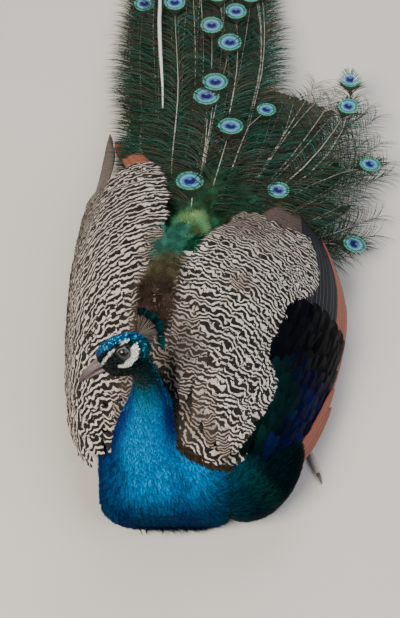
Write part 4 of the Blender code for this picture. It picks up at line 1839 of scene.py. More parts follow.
@dataclass
class Eye:
    """One round eye with its brown iris, dark pupil and pale bare lids.

    Args:
        side: 1 for the left eye, -1 for the right eye.
    """

    side: int

    def axes(self) -> tuple[Array, Array, Array, Array]:
        """The eye's middle and its directions out, up and forward.

        Returns:
            The middle and the three unit vectors.
        """
        frame = HEAD_FRAME
        middle = frame.place(frame.eye_along, frame.eye_above, self.side * (frame.eye_aside + 0.0005))
        out = unit(self.side * frame.left + 0.22 * frame.forward + 0.10 * frame.up)
        up = unit(frame.up - frame.up.dot(out) * out)
        return middle, out, up, np.cross(up, out)

    def ball(self, material: Material) -> Object:
        """The eyeball, which carries the distance from its pupil's middle.

        Args:
            material: Its finish.

        Returns:
            The piece.
        """
        middle, out, up, front = self.axes()
        radius = HEAD_FRAME.eye_radius * 1.07
        turns = np.linspace(0.02, math.pi - 0.02, 40)
        angles = circle(40)
        round_it = np.cos(angles)[:, None] * front + np.sin(angles)[:, None] * up
        rings = [middle + radius * (math.cos(turn) * out + math.sin(turn) * round_it) for turn in turns]
        made = lofted(f"eyeball_{side_name(self.side)}", rings, material)
        places = corners_of(made)[0]
        ring = np.arccos(np.clip(((places - middle) / radius) @ out, -1, 1)) * radius
        give(made, "ring", ring, "FLOAT")
        return made

    def lids(self, material: Material) -> Object:
        """The rim of bare skin around the opening, thicker above.

        Args:
            material: Its finish.

        Returns:
            The piece.
        """
        middle, out, up, front = self.axes()
        radius = HEAD_FRAME.eye_radius * 1.085
        turns, sides = 48, 10
        around, across = circle(turns), circle(sides)
        rings = []
        for turn in around:
            reach = math.radians(57 + 7 * abs(math.cos(turn)) ** 1.6)
            way = math.cos(turn) * front + math.sin(turn) * up
            ray = math.cos(reach) * out + math.sin(reach) * way
            slope = -math.sin(reach) * out + math.cos(reach) * way
            thick = 0.00026 + 0.00010 * max(0, math.sin(turn))
            centre = middle + ray * (radius * 0.985)
            section = np.cos(across)[:, None] * ray * 0.8 + np.sin(across)[:, None] * slope * 1.7
            rings.append(centre + thick * section)
        points = np.array(rings).reshape(-1, 3)
        faces = grid_faces(turns, sides, True)
        last = (turns - 1) * sides
        faces += [(last + c, last + (c + 1) % sides, (c + 1) % sides, c) for c in range(sides)]
        made = mesh_object(f"lids_{side_name(self.side)}", points, faces)
        turn_outwards(made)
        return shade(made, material)

    def build(self, ball: Material, lid: Material) -> list[Object]:
        """The eye's two pieces."""
        return [self.ball(ball), self.lids(lid)]


@dataclass(frozen=True)
class EyeFinish:
    """A wet eye: dark pupil, brown iris with a darker rim.

    Args:
        name: The material's name.
        pupil: The pupil's radius, over the eye's surface.
        iris: The iris's radius.
    """

    name: str = "wet_eye"
    pupil: float = 0.0030
    iris: float = 0.0062

    def build(self) -> Material:
        """Makes the material.

        Returns:
            The material.
        """
        paint = Paint(self.name)
        ring = paint.read("ring", "Fac")
        inner = paint.span(ring, self.pupil - 0.0002, self.pupil + 0.0002, 0.0, 1.0)
        outer = paint.span(ring, self.iris - 0.0008, self.iris, 0.0, 1.0)
        colour = paint.blend(inner, rgba("020202"), rgba("211D18"))
        colour = paint.blend(outer, colour, rgba("141312"))
        return paint.finish(colour, Roughness=0.20, Coat_Weight=0.18, Coat_Roughness=0.03)


@dataclass
class Crest:
    """The fan of bare-shafted crest feathers with small blue-green tips.

    Args:
        count: How many feathers there are.
        low: The lowest feather's angle, in degrees.
        high: The highest feather's angle.
        short: The length of the middle feathers.
        long: The length of the outermost feathers.
        tip_width: A tip's width.
        tip_height: How far a tip arches.
        tip_lengths: The shortest and the longest tip.
        seed: The seed of all small irregularities.
    """

    count: int = 24
    low: float = -60.0
    high: float = 57.0
    short: float = 0.0280
    long: float = 0.0330
    tip_width: float = 0.0052
    tip_height: float = 0.004
    tip_lengths: tuple[float, float] = (0.0078, 0.0105)
    seed: int = 3

    def build(self, feather: Material, shaft: Material) -> list[Object]:
        """Builds the shafts and the tips.

        Args:
            feather: The tips' finish.
            shaft: The shafts' finish.

        Returns:
            The two pieces.
        """
        rng = np.random.default_rng(self.seed)
        frame = HEAD_FRAME
        paths, radii, tints, roots, ways, sides = [], [], [], [], [], []
        for index in range(self.count):
            share = index / (self.count - 1)
            turn = math.radians(self.low + (self.high - self.low) * share + rng.uniform(-2, 2))
            reach = (self.short + (self.long - self.short) * (2 * share - 1) ** 2) * rng.uniform(0.92, 1.0)
            lean = rng.uniform(-0.0011, 0.0011)
            way = -frame.forward * math.cos(turn) + frame.up * math.sin(turn)
            bend = np.cross(frame.left, way) * (-0.0020 * (share - 0.3))
            root = frame.place(-0.0260, 0.0080, 0.0) + way * 0.001
            steps = np.linspace(0, 0.76, 7)[:, None]
            path = root + way * reach * steps + bend * steps ** 2 + frame.left * lean * steps
            paths.append(path)
            radii.append(np.linspace(0.00028, 0.00014, 7))
            tints.append(mix("241F1B", "8A8074", steps[:, 0] * 1.4))
            roots.append(path[-2])
            ways.append(unit(path[-1] - path[-3]))
            sides.append(frame.left * 1.0)
        shafts = tubes("crest_shafts", paths, radii, tints, shaft, 5)
        count = self.count
        size = np.tile((self.tip_width, 0.0, self.tip_height), (count, 1))
        size[:, 1] = rng.uniform(*self.tip_lengths, count)
        tint = mix("055A50", "04123E", rng.uniform(0, 1, count))
        tint = tint * rng.uniform(0.20, 0.8, (count, 1))
        spread = Spread(np.array(roots), np.array(ways), np.array(sides), size, tint,
                        rng.uniform(0.1, 0.9, (count, 2)), rng.integers(0, 3, count))
        templates = [vane_template(9, 0.42, 20 + i, 0.8, 34.0, 0.0, 0.30) for i in range(3)]
        return [shafts, copies("crest_tips", spread, templates, feather)]


# ---------------------------------------------------------------- wings


class Side(Enum):
    """The bird's two sides."""

    LEFT = 1
    RIGHT = -1


WING_PARTS = ("shoulder", "scapulars", "coverts", "alula", "outer_coverts", "secondaries", "primaries")
WING_ARC = math.radians(78)


@dataclass
class WingForm:
    """The outer face of one folded wing.

    Args:
        side: Which wing.
        stations: Place along y, then the inner edge's x and z and the outer edge's x and z.
    """

    side: Side
    stations: Array

    def place(self, along: Array, across: Array, lift: Array | float = 0.0) -> Array:
        """Places on the wing.

        Args:
            along: Shares from the front to the rear.
            across: Shares from the inner edge to the outer edge.
            lift: How far over the face.

        Returns:
            One place for each share.
        """
        start, end = self.stations[0, 0], self.stations[-1, 0]
        y = start + (end - start) * np.clip(along, 0, 1)
        row = smooth_at(self.stations, y)
        turn = np.clip(across, -0.02, 1.02) * WING_ARC
        sideways = np.sin(turn) / math.sin(WING_ARC)
        drop = (1 - np.cos(turn)) / (1 - math.cos(WING_ARC))
        x = row[:, 0] + (row[:, 2] - row[:, 0]) * sideways
        z = row[:, 1] + (row[:, 3] - row[:, 1]) * drop
        flat = np.column_stack((x, y, z))
        if np.any(lift):
            flat = flat + self.facing(along, across) * np.reshape(lift, (-1, 1))
        return flat

    def ways(self, along: Array, across: Array) -> tuple[Array, Array]:
        """The directions to the rear and outwards, flat on the wing.

        Args:
            along: Shares from the wing's front to its rear.
            across: Shares from its inner to its outer edge.

        Returns:
            Two unit vectors for each pair of shares.
        """
        step = 0.01
        rear = self.place(along + step, across) - self.place(along - step, across)
        out = self.place(along, across + step) - self.place(along, across - step)
        return unit(rear), unit(out)

    def facing(self, along: Array, across: Array) -> Array:
        """The way the wing's outer face looks.

        Args:
            along: Shares from the wing's front to its rear.
            across: Shares from its inner to its outer edge.

        Returns:
            One unit vector for each pair of shares.
        """
        rear, out = self.ways(along, across)
        normal = unit(np.cross(rear, out))
        return normal * np.where(normal[:, 2:] < 0, -1.0, 1.0)


# The strip between the wings where the back's plumage shows: each edge's places along y, and its x there.
BACK_EDGES = (
    ((-0.030, -0.044), (0.015, -0.043), (0.035, -0.040), (0.060, -0.030), (0.084, -0.024), (0.111, -0.017)),
    ((-0.030, -0.010), (0.006, -0.004), (0.028, 0.001), (0.075, 0.004), (0.120, 0.009), (0.150, 0.006)))
LEFT_WING = WingForm(Side.LEFT, np.array((
    (-0.152, 0.060, 0.094, 0.104, 0.056), (-0.110, 0.016, 0.136, 0.148, 0.042),
    (-0.035, -0.010, 0.176, 0.186, 0.030), (0.045, -0.015, 0.187, 0.212, 0.026),
    (0.115, -0.006, 0.169, 0.221, 0.024), (0.175, 0.036, 0.138, 0.210, 0.026),
    (0.225, 0.088, 0.102, 0.190, 0.030), (0.254, 0.132, 0.068, 0.166, 0.036))))
RIGHT_WING = WingForm(Side.RIGHT, np.array((
    (-0.128, -0.068, 0.084, -0.096, 0.050), (-0.085, -0.048, 0.130, -0.122, 0.042),
    (0.000, -0.028, 0.176, -0.138, 0.036), (0.100, -0.021, 0.172, -0.144, 0.030),
    (0.200, -0.020, 0.138, -0.142, 0.024), (0.300, -0.034, 0.092, -0.132, 0.018),
    (0.365, -0.064, 0.052, -0.124, 0.014), (0.428, -0.102, 0.022, -0.113, 0.010))))


@dataclass(frozen=True)
class Quills:
    """A row of long quills laid side by side on a wing.

    Args:
        count: How many there are.
        first: The first quill's root and tip, each as shares along and across the wing.
        last: The last quill's root and tip.
        half: Half a vane's width.
        sink: How deep the row lies.
        tint: The vanes' colour.
        bars: How strong their bars are.
    """

    count: int
    first: tuple[float, float, float, float]
    last: tuple[float, float, float, float]
    half: float
    sink: float
    tint: str
    bars: float = 0.0


@dataclass(frozen=True)
class WingPlan:
    """Where a wing's fields of feathers end.

    Args:
        side_edge: The barred field's outer edge, as shares along and across.
        rear_edge: Its rear edge, as shares across and along.
        bed_edge: The bed's rear edge, as shares across and along.
        brown: Places along and across, with a reach, where the bars fade into brown.
        quills: The rows of long quills.
        dark: The dark coverts' field: front, rear, inner and outer share.
        bar: The bars' period, in metres.
    """

    side_edge: tuple
    rear_edge: tuple
    bed_edge: tuple
    brown: tuple
    quills: tuple[Quills, ...]
    dark: tuple[float, float, float, float] | None = None
    bar: float = 0.0090


LEFT_PLAN = WingPlan(
    side_edge=((0.0, 0.13), (0.054, 0.22), (0.10, 0.35), (0.154, 0.45), (0.242, 0.52), (0.317, 0.45),
               (0.408, 0.50), (0.517, 0.55), (0.588, 0.63), (0.654, 0.65), (0.85, 0.60)),
    rear_edge=((0.0, 0.61), (0.11, 0.63), (0.15, 0.74), (0.19, 0.83), (0.30, 0.85), (0.39, 0.80),
               (0.50, 0.73), (0.64, 0.68)),
    bed_edge=((0.0, 0.57), (0.12, 0.58), (0.2, 0.76), (0.3, 0.82), (0.6, 0.84), (0.85, 0.76), (1.0, 0.62)),
    brown=((0.10, 0.03, 0.16, 0.08), (0.52, 0.25, 0.035, 0.05), (0.80, 0.25, 0.09, 0.16),
           (0.32, 0.03, 0.12, 0.10)),
    quills=(
        Quills(7, (0.16, 0.90, 0.89, 0.84), (0.05, 0.97, 0.66, 1.0), 0.0120, 0.0050, "A4604A"),
        Quills(2, (0.10, 0.90, 0.33, 0.95), (0.06, 0.96, 0.28, 1.0), 0.0105, 0.0004, "A4604A"),
        Quills(10, (0.26, 0.60, 0.91, 0.58), (0.22, 0.85, 0.80, 0.85), 0.0140, 0.0040, "1B1D25"),
        Quills(6, (0.42, 0.30, 0.92, 0.34), (0.40, 0.58, 0.90, 0.58), 0.0180, 0.0034, "4A3A36", 0.22)),
    dark=(0.02, 0.40, 0.12, 0.90), bar=0.0067)
RIGHT_PLAN = WingPlan(
    side_edge=((0.0, 1.01), (0.50, 1.01), (0.60, 0.96), (0.80, 0.90)),
    rear_edge=((0.0, 0.71), (0.07, 0.76), (0.25, 0.77), (0.38, 0.735), (0.46, 0.69), (0.60, 0.715),
               (0.75, 0.70), (1.0, 0.60)),
    bed_edge=((0.0, 0.64), (0.25, 0.70), (0.45, 0.64), (0.75, 0.62), (1.0, 0.54)),
    brown=((0.66, 0.70, 0.08, 0.26), (0.20, 0.03, 0.22, 0.10), (0.42, 0.02, 0.08, 0.08)),
    quills=(
        Quills(6, (0.42, 0.82, 0.93, 0.46), (0.36, 0.97, 0.985, 0.50), 0.0105, 0.0048, "6A5C55", 0.10),
        Quills(3, (0.60, 0.12, 0.90, 0.06), (0.62, 0.16, 0.93, 0.30), 0.0090, 0.0060, "9C5C44")))


@dataclass
class Wing:
    """One folded wing: a dark bed under rows of coverts, quills and tertials.

    Args:
        form: The wing's outer face.
        plan: Where its fields end.
        seed: The seed of its small irregularities.
    """

    form: WingForm
    plan: WingPlan
    seed: int = 11

    @property
    def name(self) -> str:
        """The wing's name, as its nodes have it."""
        return f"wing_{self.form.side.name.lower()}"

    @property
    def long(self) -> float:
        """The wing's length along y."""
        return float(self.form.stations[-1, 0] - self.form.stations[0, 0])

    def nodes(self) -> tuple[str, ...]:
        """The nodes the wing's pieces replace."""
        return tuple(f"{self.name}_{part}" for part in WING_PARTS)

    def bed(self, material: Material) -> Object:
        """A closed shell of quill bases and down under the feathers, nearly black as painted shade.

        Args:
            material: The finish.

        Returns:
            The piece.
        """
        rows, columns = 36, 26
        across = np.tile(np.linspace(0.03, 0.975, columns), rows)
        rear = smooth_at(np.array(self.plan.bed_edge), across)[:, 0]
        share = np.repeat(np.linspace(0, 1, rows), columns)
        along = 0.09 + (rear - 0.09) * share
        edge = np.minimum(np.minimum(share, 1 - share) * 8, np.minimum(across, 1 - across) * 5).clip(0, 1)
        top = self.form.place(along, across, -0.0062)
        under = self.form.place(along, across, -(0.0076 + 0.009 * (1 - across) * edge))
        under[:, 2] = np.maximum(under[:, 2], 0.003)
        top[:, 2] = np.maximum(top[:, 2], 0.004)
        return sheet(f"{self.name}_bed", top, under, rows, material)

    def lay(
        self, along: Array, across: Array, length: Array, wide: Array, tint: Array, mark: Array,
        depth: float = 0.0045, splay: Array | float = 0.0
    ) -> Spread:
        """Feathers on the wing, tips to the rear, each row over the next.

        Args:
            along: The roots' shares from front to rear.
            across: Their shares from the inner to the outer edge.
            length: Their lengths.
            wide: Their widths.
            tint: Their ground colours.
            mark: Their bars' phase, strength and period.
            depth: How deep the roots lie.
            splay: How far the tips turn outwards.

        Returns:
            The spread.
        """
        rng = np.random.default_rng(self.seed + len(along))
        count = len(along)
        roots = self.form.place(along, across, -depth)
        turn = rng.normal(0, 0.06, count) + splay
        end_along = np.clip(along + np.cos(turn) * length / self.long, 0, 1)
        end_across = np.clip(across + np.sin(turn) * length / 0.16, 0, 1)
        lie = unit(self.form.place(end_along, end_across, -0.0012 - rng.uniform(0, 0.0012, count)) - roots)
        facing = self.form.facing(along, across)
        facing = unit(facing - (facing * lie).sum(1, keepdims=True) * lie)
        size = np.column_stack((wide, length, length))
        return Spread(roots, lie, facing, size, tint, cells(count)[0], rng.integers(0, 4, count), mark)

    def rows(self, low: float, high: float, inner: float, outer: float, step: float) -> tuple[Array, Array]:
        """Roots in staggered rows over a field of the wing, rear rows first.

        Args:
            low: The field's front, as a share of the wing.
            high: Its rear.
            inner: Its inner edge, as a share across.
            outer: Its outer edge.
            step: The rows' distance and the feathers' distance in a row, in metres.

        Returns:
            The shares along and across.
        """
        rng = np.random.default_rng(self.seed)
        alongs, acrosses = [], []
        for row, share in enumerate(np.arange(high, low, -step / self.long)):
            line = self.form.place(np.full(9, share), np.linspace(inner, outer, 9))
            count = max(2, int(np.linalg.norm(np.diff(line, axis=0), axis=1).sum() / (0.92 * step)))
            spots = (np.arange(count) + 0.25 + 0.5 * (row % 2) + rng.uniform(-0.3, 0.3, count)) / count
            alongs.append(share + rng.uniform(-0.3, 0.3, count) * step / self.long)
            acrosses.append(np.clip(inner + (outer - inner) * spots, inner, outer))
        return np.clip(np.concatenate(alongs), 0, 1), np.concatenate(acrosses)


@dataclass
class Feathers:
    """The finishes of all feathers, made once."""

    body: Material
    crest: Material
    barred: Material
    dark: Material
    quill: Material
    train: Material
    eye: Material
    shaft: Material
    bed: Material


@dataclass
class WingDress:
    """The feathers of one wing, field by field.

    Args:
        wing: The wing.
        finishes: The feathers' finishes.
    """

    wing: Wing
    finishes: Feathers

    def faded(self, along: Array, across: Array) -> Array:
        """How far the bars fade into brown at places on the wing, from 0 to 1.

        Args:
            along: Shares from the wing's front to its rear.
            across: Shares from its inner to its outer edge.

        Returns:
            One share for each place.
        """
        gone = np.zeros(len(along))
        for middle, aside, long, wide in self.wing.plan.brown:
            gone = np.maximum(gone, np.exp(-((along - middle) / long) ** 2 - ((across - aside) / wide) ** 2))
        return gone

    def covert_length(self, along: Array) -> Array:
        """How long the barred feathers are; those further back are longer."""
        return 0.026 + 0.016 * ramp(along, 0.1, 0.6)

    def barred(self) -> Object:
        """The cream-barred scapulars and inner coverts.

        Returns:
            The piece.
        """
        wing, plan = self.wing, self.wing.plan
        along, across = wing.rows(-0.01, 0.82, 0.0, 0.985, 0.0105)
        rng = np.random.default_rng(5)
        length = self.covert_length(along)
        splay = (0.10 + 0.42 * ramp(across, 0.1, 0.6) + 0.50 * ramp(-along, -0.36, -0.02)
                 - 0.35 * ramp(along, 0.55, 0.8))
        tip = along + 0.9 * length * np.cos(splay) / wing.long
        tip_across = across + 0.9 * length * np.sin(splay) / 0.16
        keep = (tip < smooth_at(np.array(plan.rear_edge), across)[:, 0]) & (
            tip_across < smooth_at(np.array(plan.side_edge), tip)[:, 0])
        keep |= (wing.form.side is Side.RIGHT) & (along < 0.5) & (across > 0.9)
        along, across, length, splay, tip = (part[keep] for part in (along, across, length, splay, tip))
        if wing.form.side is Side.LEFT:
            # Rows along the field's outer edge give it a clean scalloped border.
            rim = np.tile(np.arange(0.09, 0.80, 0.0065 / wing.long), 3)
            back = np.repeat((0.0, 0.055, 0.11), len(rim) // 3)
            rim_length = self.covert_length(rim)
            rim_splay = 0.42 + 0.35 * ramp(-rim, -0.36, -0.02) - 0.35 * ramp(rim, 0.55, 0.8)
            rim_across = (smooth_at(np.array(plan.side_edge), rim)[:, 0] - 0.02 - back
                          - 0.9 * rim_length * np.sin(rim_splay) / 0.16)
            along = np.concatenate((along, rim - 0.9 * rim_length * np.cos(rim_splay) / wing.long))
            across, length = np.concatenate((across, rim_across)), np.concatenate((length, rim_length))
            splay, tip = np.concatenate((splay, rim_splay)), np.concatenate((tip, rim))
            inside = (along > 0.0) & (across > 0.0)
            along, across, length, splay, tip = (part[inside] for part in (along, across, length, splay, tip))
        count = len(along)
        gone = self.faded(tip, across)
        tint = mix("201B19", "46362C", gone) * rng.uniform(0.7, 1.3, (count, 1))
        period = np.where(gone > 0.4, 0.0052, plan.bar) * (1 - 0.22 * ramp(-along, -0.14, -0.02))
        roots = wing.form.place(along, across)
        travelled = roots[:, 1] * np.cos(splay) + np.abs(roots[:, 0]) * np.sin(splay)
        phase = travelled / period + rng.uniform(-0.12, 0.12, count)
        mark = np.column_stack((phase, (1 - 0.68 * gone) * rng.uniform(0.82, 1.0, count), period))
        spread = wing.lay(along, across, length, length * 0.70, tint, mark, 0.0045, splay)
        templates = [vane_template(13, 0.5, 40 + i, 0.66, 46.0, 0.10, 0.05) for i in range(4)]
        return copies(f"{wing.name}_barred", spread, templates, self.finishes.barred, cells(count)[1])

    def plumes(self) -> Object:
        """The back's soft plumage over the wing's inner edge: green behind, olive and brown near the neck.

        Returns:
            The piece.
        """
        along, across = self.wing.rows(0.02, 0.72, -0.02, 0.40, 0.0034)
        roots = self.wing.form.place(along, across, 0.0014)
        rng = np.random.default_rng(12)
        low, high = (
            np.interp(roots[:, 1], *zip(*edge)) + rng.normal(0, 0.002, len(along)) for edge in BACK_EDGES)
        keep = (roots[:, 0] > low) & (roots[:, 0] < high) & (roots[:, 1] > -0.025) & (roots[:, 1] < 0.140)
        along, across, roots = along[keep], across[keep], roots[keep]
        count = len(along)
        rear, out = self.wing.form.ways(along, across)
        facing = self.wing.form.facing(along, across)
        aside = out * rng.normal(0, 0.35, (count, 1))
        lie = unit(rear + aside + facing * rng.uniform(0.04, 0.16, (count, 1)))
        forward = -roots[:, 1] + rng.normal(0, 0.006, count)
        olive, brown = ramp(forward, -0.082, -0.060), ramp(forward, -0.048, -0.024)
        tint = mix("123C30", "48907A", rng.uniform(0, 1, count))
        tint = mix(tint, mix("3A3A28", "6E6648", rng.uniform(0, 1, count)), olive)
        tint = mix(tint, mix("1C1512", "54443A", rng.uniform(0, 1, count)), brown)
        length = rng.uniform(0.013, 0.019, count)
        spread = Spread(roots, lie, facing, np.column_stack((length * 0.8, length, length)),
                        tint * rng.uniform(0.4, 1.2, (count, 1)), cells(count)[0], rng.integers(0, 3, count))
        templates = [lock_template(9, 62, 0.013, 0.05) for _ in range(3)]
        name = f"{self.wing.name}_back_plumes"
        return copies(name, spread, templates, self.finishes.train, cells(count)[1])

    def dark(self) -> Object:
        """The glossy navy and green outer coverts of the left wing.

        Returns:
            The piece.
        """
        low, high, inner, outer = self.wing.plan.dark
        along, across = self.wing.rows(low, high, inner, outer, 0.0145)
        edge = smooth_at(np.array(self.wing.plan.side_edge), along + 0.08)[:, 0]
        keep = across > edge - 0.045 - 0.10 * ramp(-along, -0.14, -0.06)
        along, across, edge = along[keep], across[keep], edge[keep]
        count = len(along)
        rng = np.random.default_rng(6)
        length = 0.034 + 0.012 * ramp(along, 0.1, 0.4)
        green = ramp(edge + 0.20 - across, 0.0, 0.12) * ramp(-along, -0.30, -0.20)
        tint = mix("050E44", "042624", green)
        tint = mix(tint, "0B0D12", np.maximum(rng.uniform(0, 0.6, count), ramp(along, 0.16, 0.28)))
        tint = tint * rng.uniform(0.65, 1.4, (count, 1))
        mark = np.column_stack((rng.uniform(0, 1, count), np.zeros(count), np.full(count, 0.006)))
        spread = self.wing.lay(along, across, length, length * 0.74, tint, mark, 0.0062, 0.18)
        templates = [vane_template(15, 0.5, 60 + i, 0.62, 44.0, 0.08, 0.03) for i in range(4)]
        return copies(f"{self.wing.name}_dark_coverts", spread, templates, self.finishes.dark)

    def quills(self) -> list[Object]:
        """The long flight feathers and tertials at the wing's rear and outer edge, with their shafts.

        Returns:
            The vanes and their shafts.
        """
        rng = np.random.default_rng(8)
        steps = np.linspace(0, 1, 22)
        lines, ups, wide, tints, marks = [], [], [], [], []
        for row in self.wing.plan.quills:
            for share in np.linspace(0, 1, row.count):
                ends = np.array(row.first) * (1 - share) + np.array(row.last) * share
                ends = ends + rng.normal(0, 0.006, 4)
                along = np.clip(ends[0] + (ends[2] - ends[0]) * steps, 0.0, 1.0)
                across = np.clip(ends[1] + (ends[3] - ends[1]) * steps, 0.0, 1.0)
                sink = row.sink + 0.0010 * share * row.count / 6 + 0.003 * (1 - steps) ** 2
                lines.append(self.wing.form.place(along, across, -sink))
                ups.append(self.wing.form.facing(along, across))
                wide.append(row.half * rng.uniform(0.92, 1.05))
                tints.append(linear(row.tint) * rng.uniform(0.8, 1.2))
                marks.append((rng.uniform(0, 1), row.bars, 0.0055))
        columns = (np.array(part) for part in (lines, ups, wide, tints, marks))
        vanes = blades(f"{self.wing.name}_quills", *columns, self.finishes.quill)
        raised = [line[:-2] + up[:-2] * 0.0004 for line, up in zip(lines, ups)]
        radii = [np.linspace(0.0010, 0.0003, 20)] * len(lines)
        shades = [np.tile(tint * 0.6, (20, 1)) for tint in tints]
        return [vanes, tubes(f"{self.wing.name}_shafts", raised, radii, shades, self.finishes.shaft, 6)]

    def build(self) -> list[Object]:
        """Builds all of the wing's pieces."""
        dark = [self.dark()] if self.wing.plan.dark else []
        return [self.wing.bed(self.finishes.bed), self.barred(), self.plumes(), *dark, *self.quills()]


# ---------------------------------------------------------------- train and tail


class Sector(Enum):
    """The three fields of the train, from the bird's right side to its left."""

    RIGHT = 0
    MIDDLE = 1
    LEFT = 2


BANDS = ("scales", "short", "half", "long")


@dataclass(frozen=True)
class TrainForm:
    """The lie of the train on the floor: a long bundle straight behind the body and a short fan to its left.

    Places across it run from 0 to 1 in the right sector, to 2 in the middle one and to 3 in the left one.

    Args:
        root_x: The x of the train's root on the rump.
        root_y: The y of its root.
        fan: How far the fan's middle line turns from the rear to the left.
        middle: The bundle's middle line, as distance from the root and place aside of it.
        half: The bundle's half width at each distance.
        long: The bundle's length at places across it.
        short: The fan's length at places across it.
        rise: The height of the upper face at each distance.
        under: The height of the underside at each distance.
    """

    root_x: float = 0.008
    root_y: float = 0.130
    fan: float = math.radians(76)
    middle: tuple = ((0.0, 0.0), (0.15, 0.004), (0.40, 0.020), (1.40, 0.020))
    half: tuple = ((0.0, 0.010), (0.10, 0.050), (0.20, 0.070), (0.32, 0.084), (0.40, 0.094), (0.50, 0.0995),
                   (0.58, 0.0975), (1.40, 0.105))
    long: tuple = ((0.0, 0.98), (0.4, 1.24), (1.0, 1.38), (1.6, 1.26), (2.0, 1.02))
    short: tuple = ((2.0, 0.405), (2.12, 0.405), (2.3, 0.445), (2.45, 0.42), (2.6, 0.375), (2.8, 0.31),
                    (3.0, 0.24))
    rise: tuple = ((0.0, 0.148), (0.10, 0.124), (0.25, 0.082), (0.45, 0.050), (0.75, 0.030), (1.10, 0.018),
                   (1.40, 0.010))
    under: tuple = ((0.0, 0.104), (0.12, 0.080), (0.30, 0.036), (0.45, 0.0), (1.4, 0.0))

    def length(self, across: Array) -> Array:
        """The train's length at places across it."""
        long, short = smooth_at(np.array(self.long), across), smooth_at(np.array(self.short), across)
        return np.where(np.asarray(across) < 2, long[..., 0], short[..., 0])

    def edge(self, far: Array, across: Array) -> Array:
        """How far aside of the root the long bundle lies."""
        return (smooth_at(np.array(self.middle), far)[..., 0]
                + smooth_at(np.array(self.half), far)[..., 0] * (np.minimum(across, 2.0) - 1))

    def floor(self, across: Array, far: Array) -> tuple[Array, Array]:
        """The heights of the underside and of the upper face.

        Args:
            across: Places across the train.
            far: Distances from the train's root.

        Returns:
            Both heights.
        """
        lowered = far * np.maximum(1.0, 0.45 / self.length(across))
        low = smooth_at(np.array(self.under), lowered)[:, 0]
        top = smooth_at(np.array(self.rise), lowered)[:, 0] * (1 - 0.40 * ((across - 1.5) / 1.5) ** 2)
        return low, np.maximum(top, low + 0.006)

    def place(self, across: Array, far: Array, sink: Array | float = 0.0) -> Array:
        """Places on the train's upper face.

        Args:
            across: Where across the train.
            far: The distance from the rump.
            sink: How far below the face.

        Returns:
            One place for each.
        """
        across, far = np.broadcast_arrays(*(np.atleast_1d(part).astype(float) for part in (across, far)))
        aside = self.edge(far, across)
        share = np.clip(across - 2, 0, 1)
        heading = np.arctan2(aside, far) * (1 - share) + self.fan * share
        reach = np.hypot(aside, far) * (1 - share) + far * share
        low, top = self.floor(across, far)
        return np.column_stack((self.root_x + np.sin(heading) * reach, self.root_y + np.cos(heading) * reach,
                                np.maximum(top - sink, low * 0.92 + 0.0015)))

    def across_at(self, x: float, y: float) -> tuple[float, float]:
        """The place across and the distance of one place seen from above.

        Args:
            x: The place's x.
            y: The place's y.

        Returns:
            The place across the train and the distance from its root.
        """
        aside, far = x - self.root_x, y - self.root_y
        middle = self.edge(far, 1.0)[0]
        across = 1 + (aside - middle) / (self.edge(far, 2.0)[0] - middle)
        if across <= 2:
            return across, far
        heading, reach = math.atan2(aside, far), math.hypot(aside, far)
        far = reach
        for _ in range(9):
            side = self.edge(far, 2.0)[0]
            share = (heading - math.atan2(side, far)) / (self.fan - math.atan2(side, far))
            far = reach / (math.hypot(side, far) / far * (1 - share) + share)
        return 2 + share, far


TRAIN = TrainForm()
# The nearest eyes, seen from above, as x and y, with how bronze each one is, partly as painted sheen.
NEAR_EYES = (
    (-0.013, 0.677, 0.2), (0.045, 0.612, 1.0), (0.083, 0.646, 0.2), (0.072, 0.568, 0.5),
    (0.049, 0.471, 0.7), (0.036, 0.438, 0.9), (0.069, 0.365, 0.2), (0.121, 0.418, 0.0),
    (0.014, 0.240, 0.0), (0.129, 0.250, 0.6), (0.262, 0.330, 0.1), (0.240, 0.436, 0.0),
    (0.248, 0.495, 0.8), (0.231, 0.201, 0.5))


@dataclass
class TrainFeather:
    """One long train feather.

    Args:
        across: Where it lies across the train.
        eye: How far out its eye is.
        sink: How deep it lies.
        bronze: How bronze its eye is.
        plain: Whether it has no eye.
        sway: How far it bends aside on its way.
    """

    across: float
    eye: float
    # bronze: How bronze its eye is, partly as painted sheen.
    sink: float
    bronze: float = 0.3
    plain: bool = False
    sway: float = 0.0

    def line(self, far: Array) -> Array:
        """Places on the feather's shaft at distances from the rump.

        Args:
            far: The distances.

        Returns:
            One place for each distance.
        """
        share = np.clip(far / self.eye, 0, 1)
        across = self.across + self.sway * np.sin(np.pi * share)
        return TRAIN.place(np.clip(across, 0.0, 1.99 if self.across < 2 else 3.0), far,
                           self.sink + 0.010 * (1 - share) ** 2)


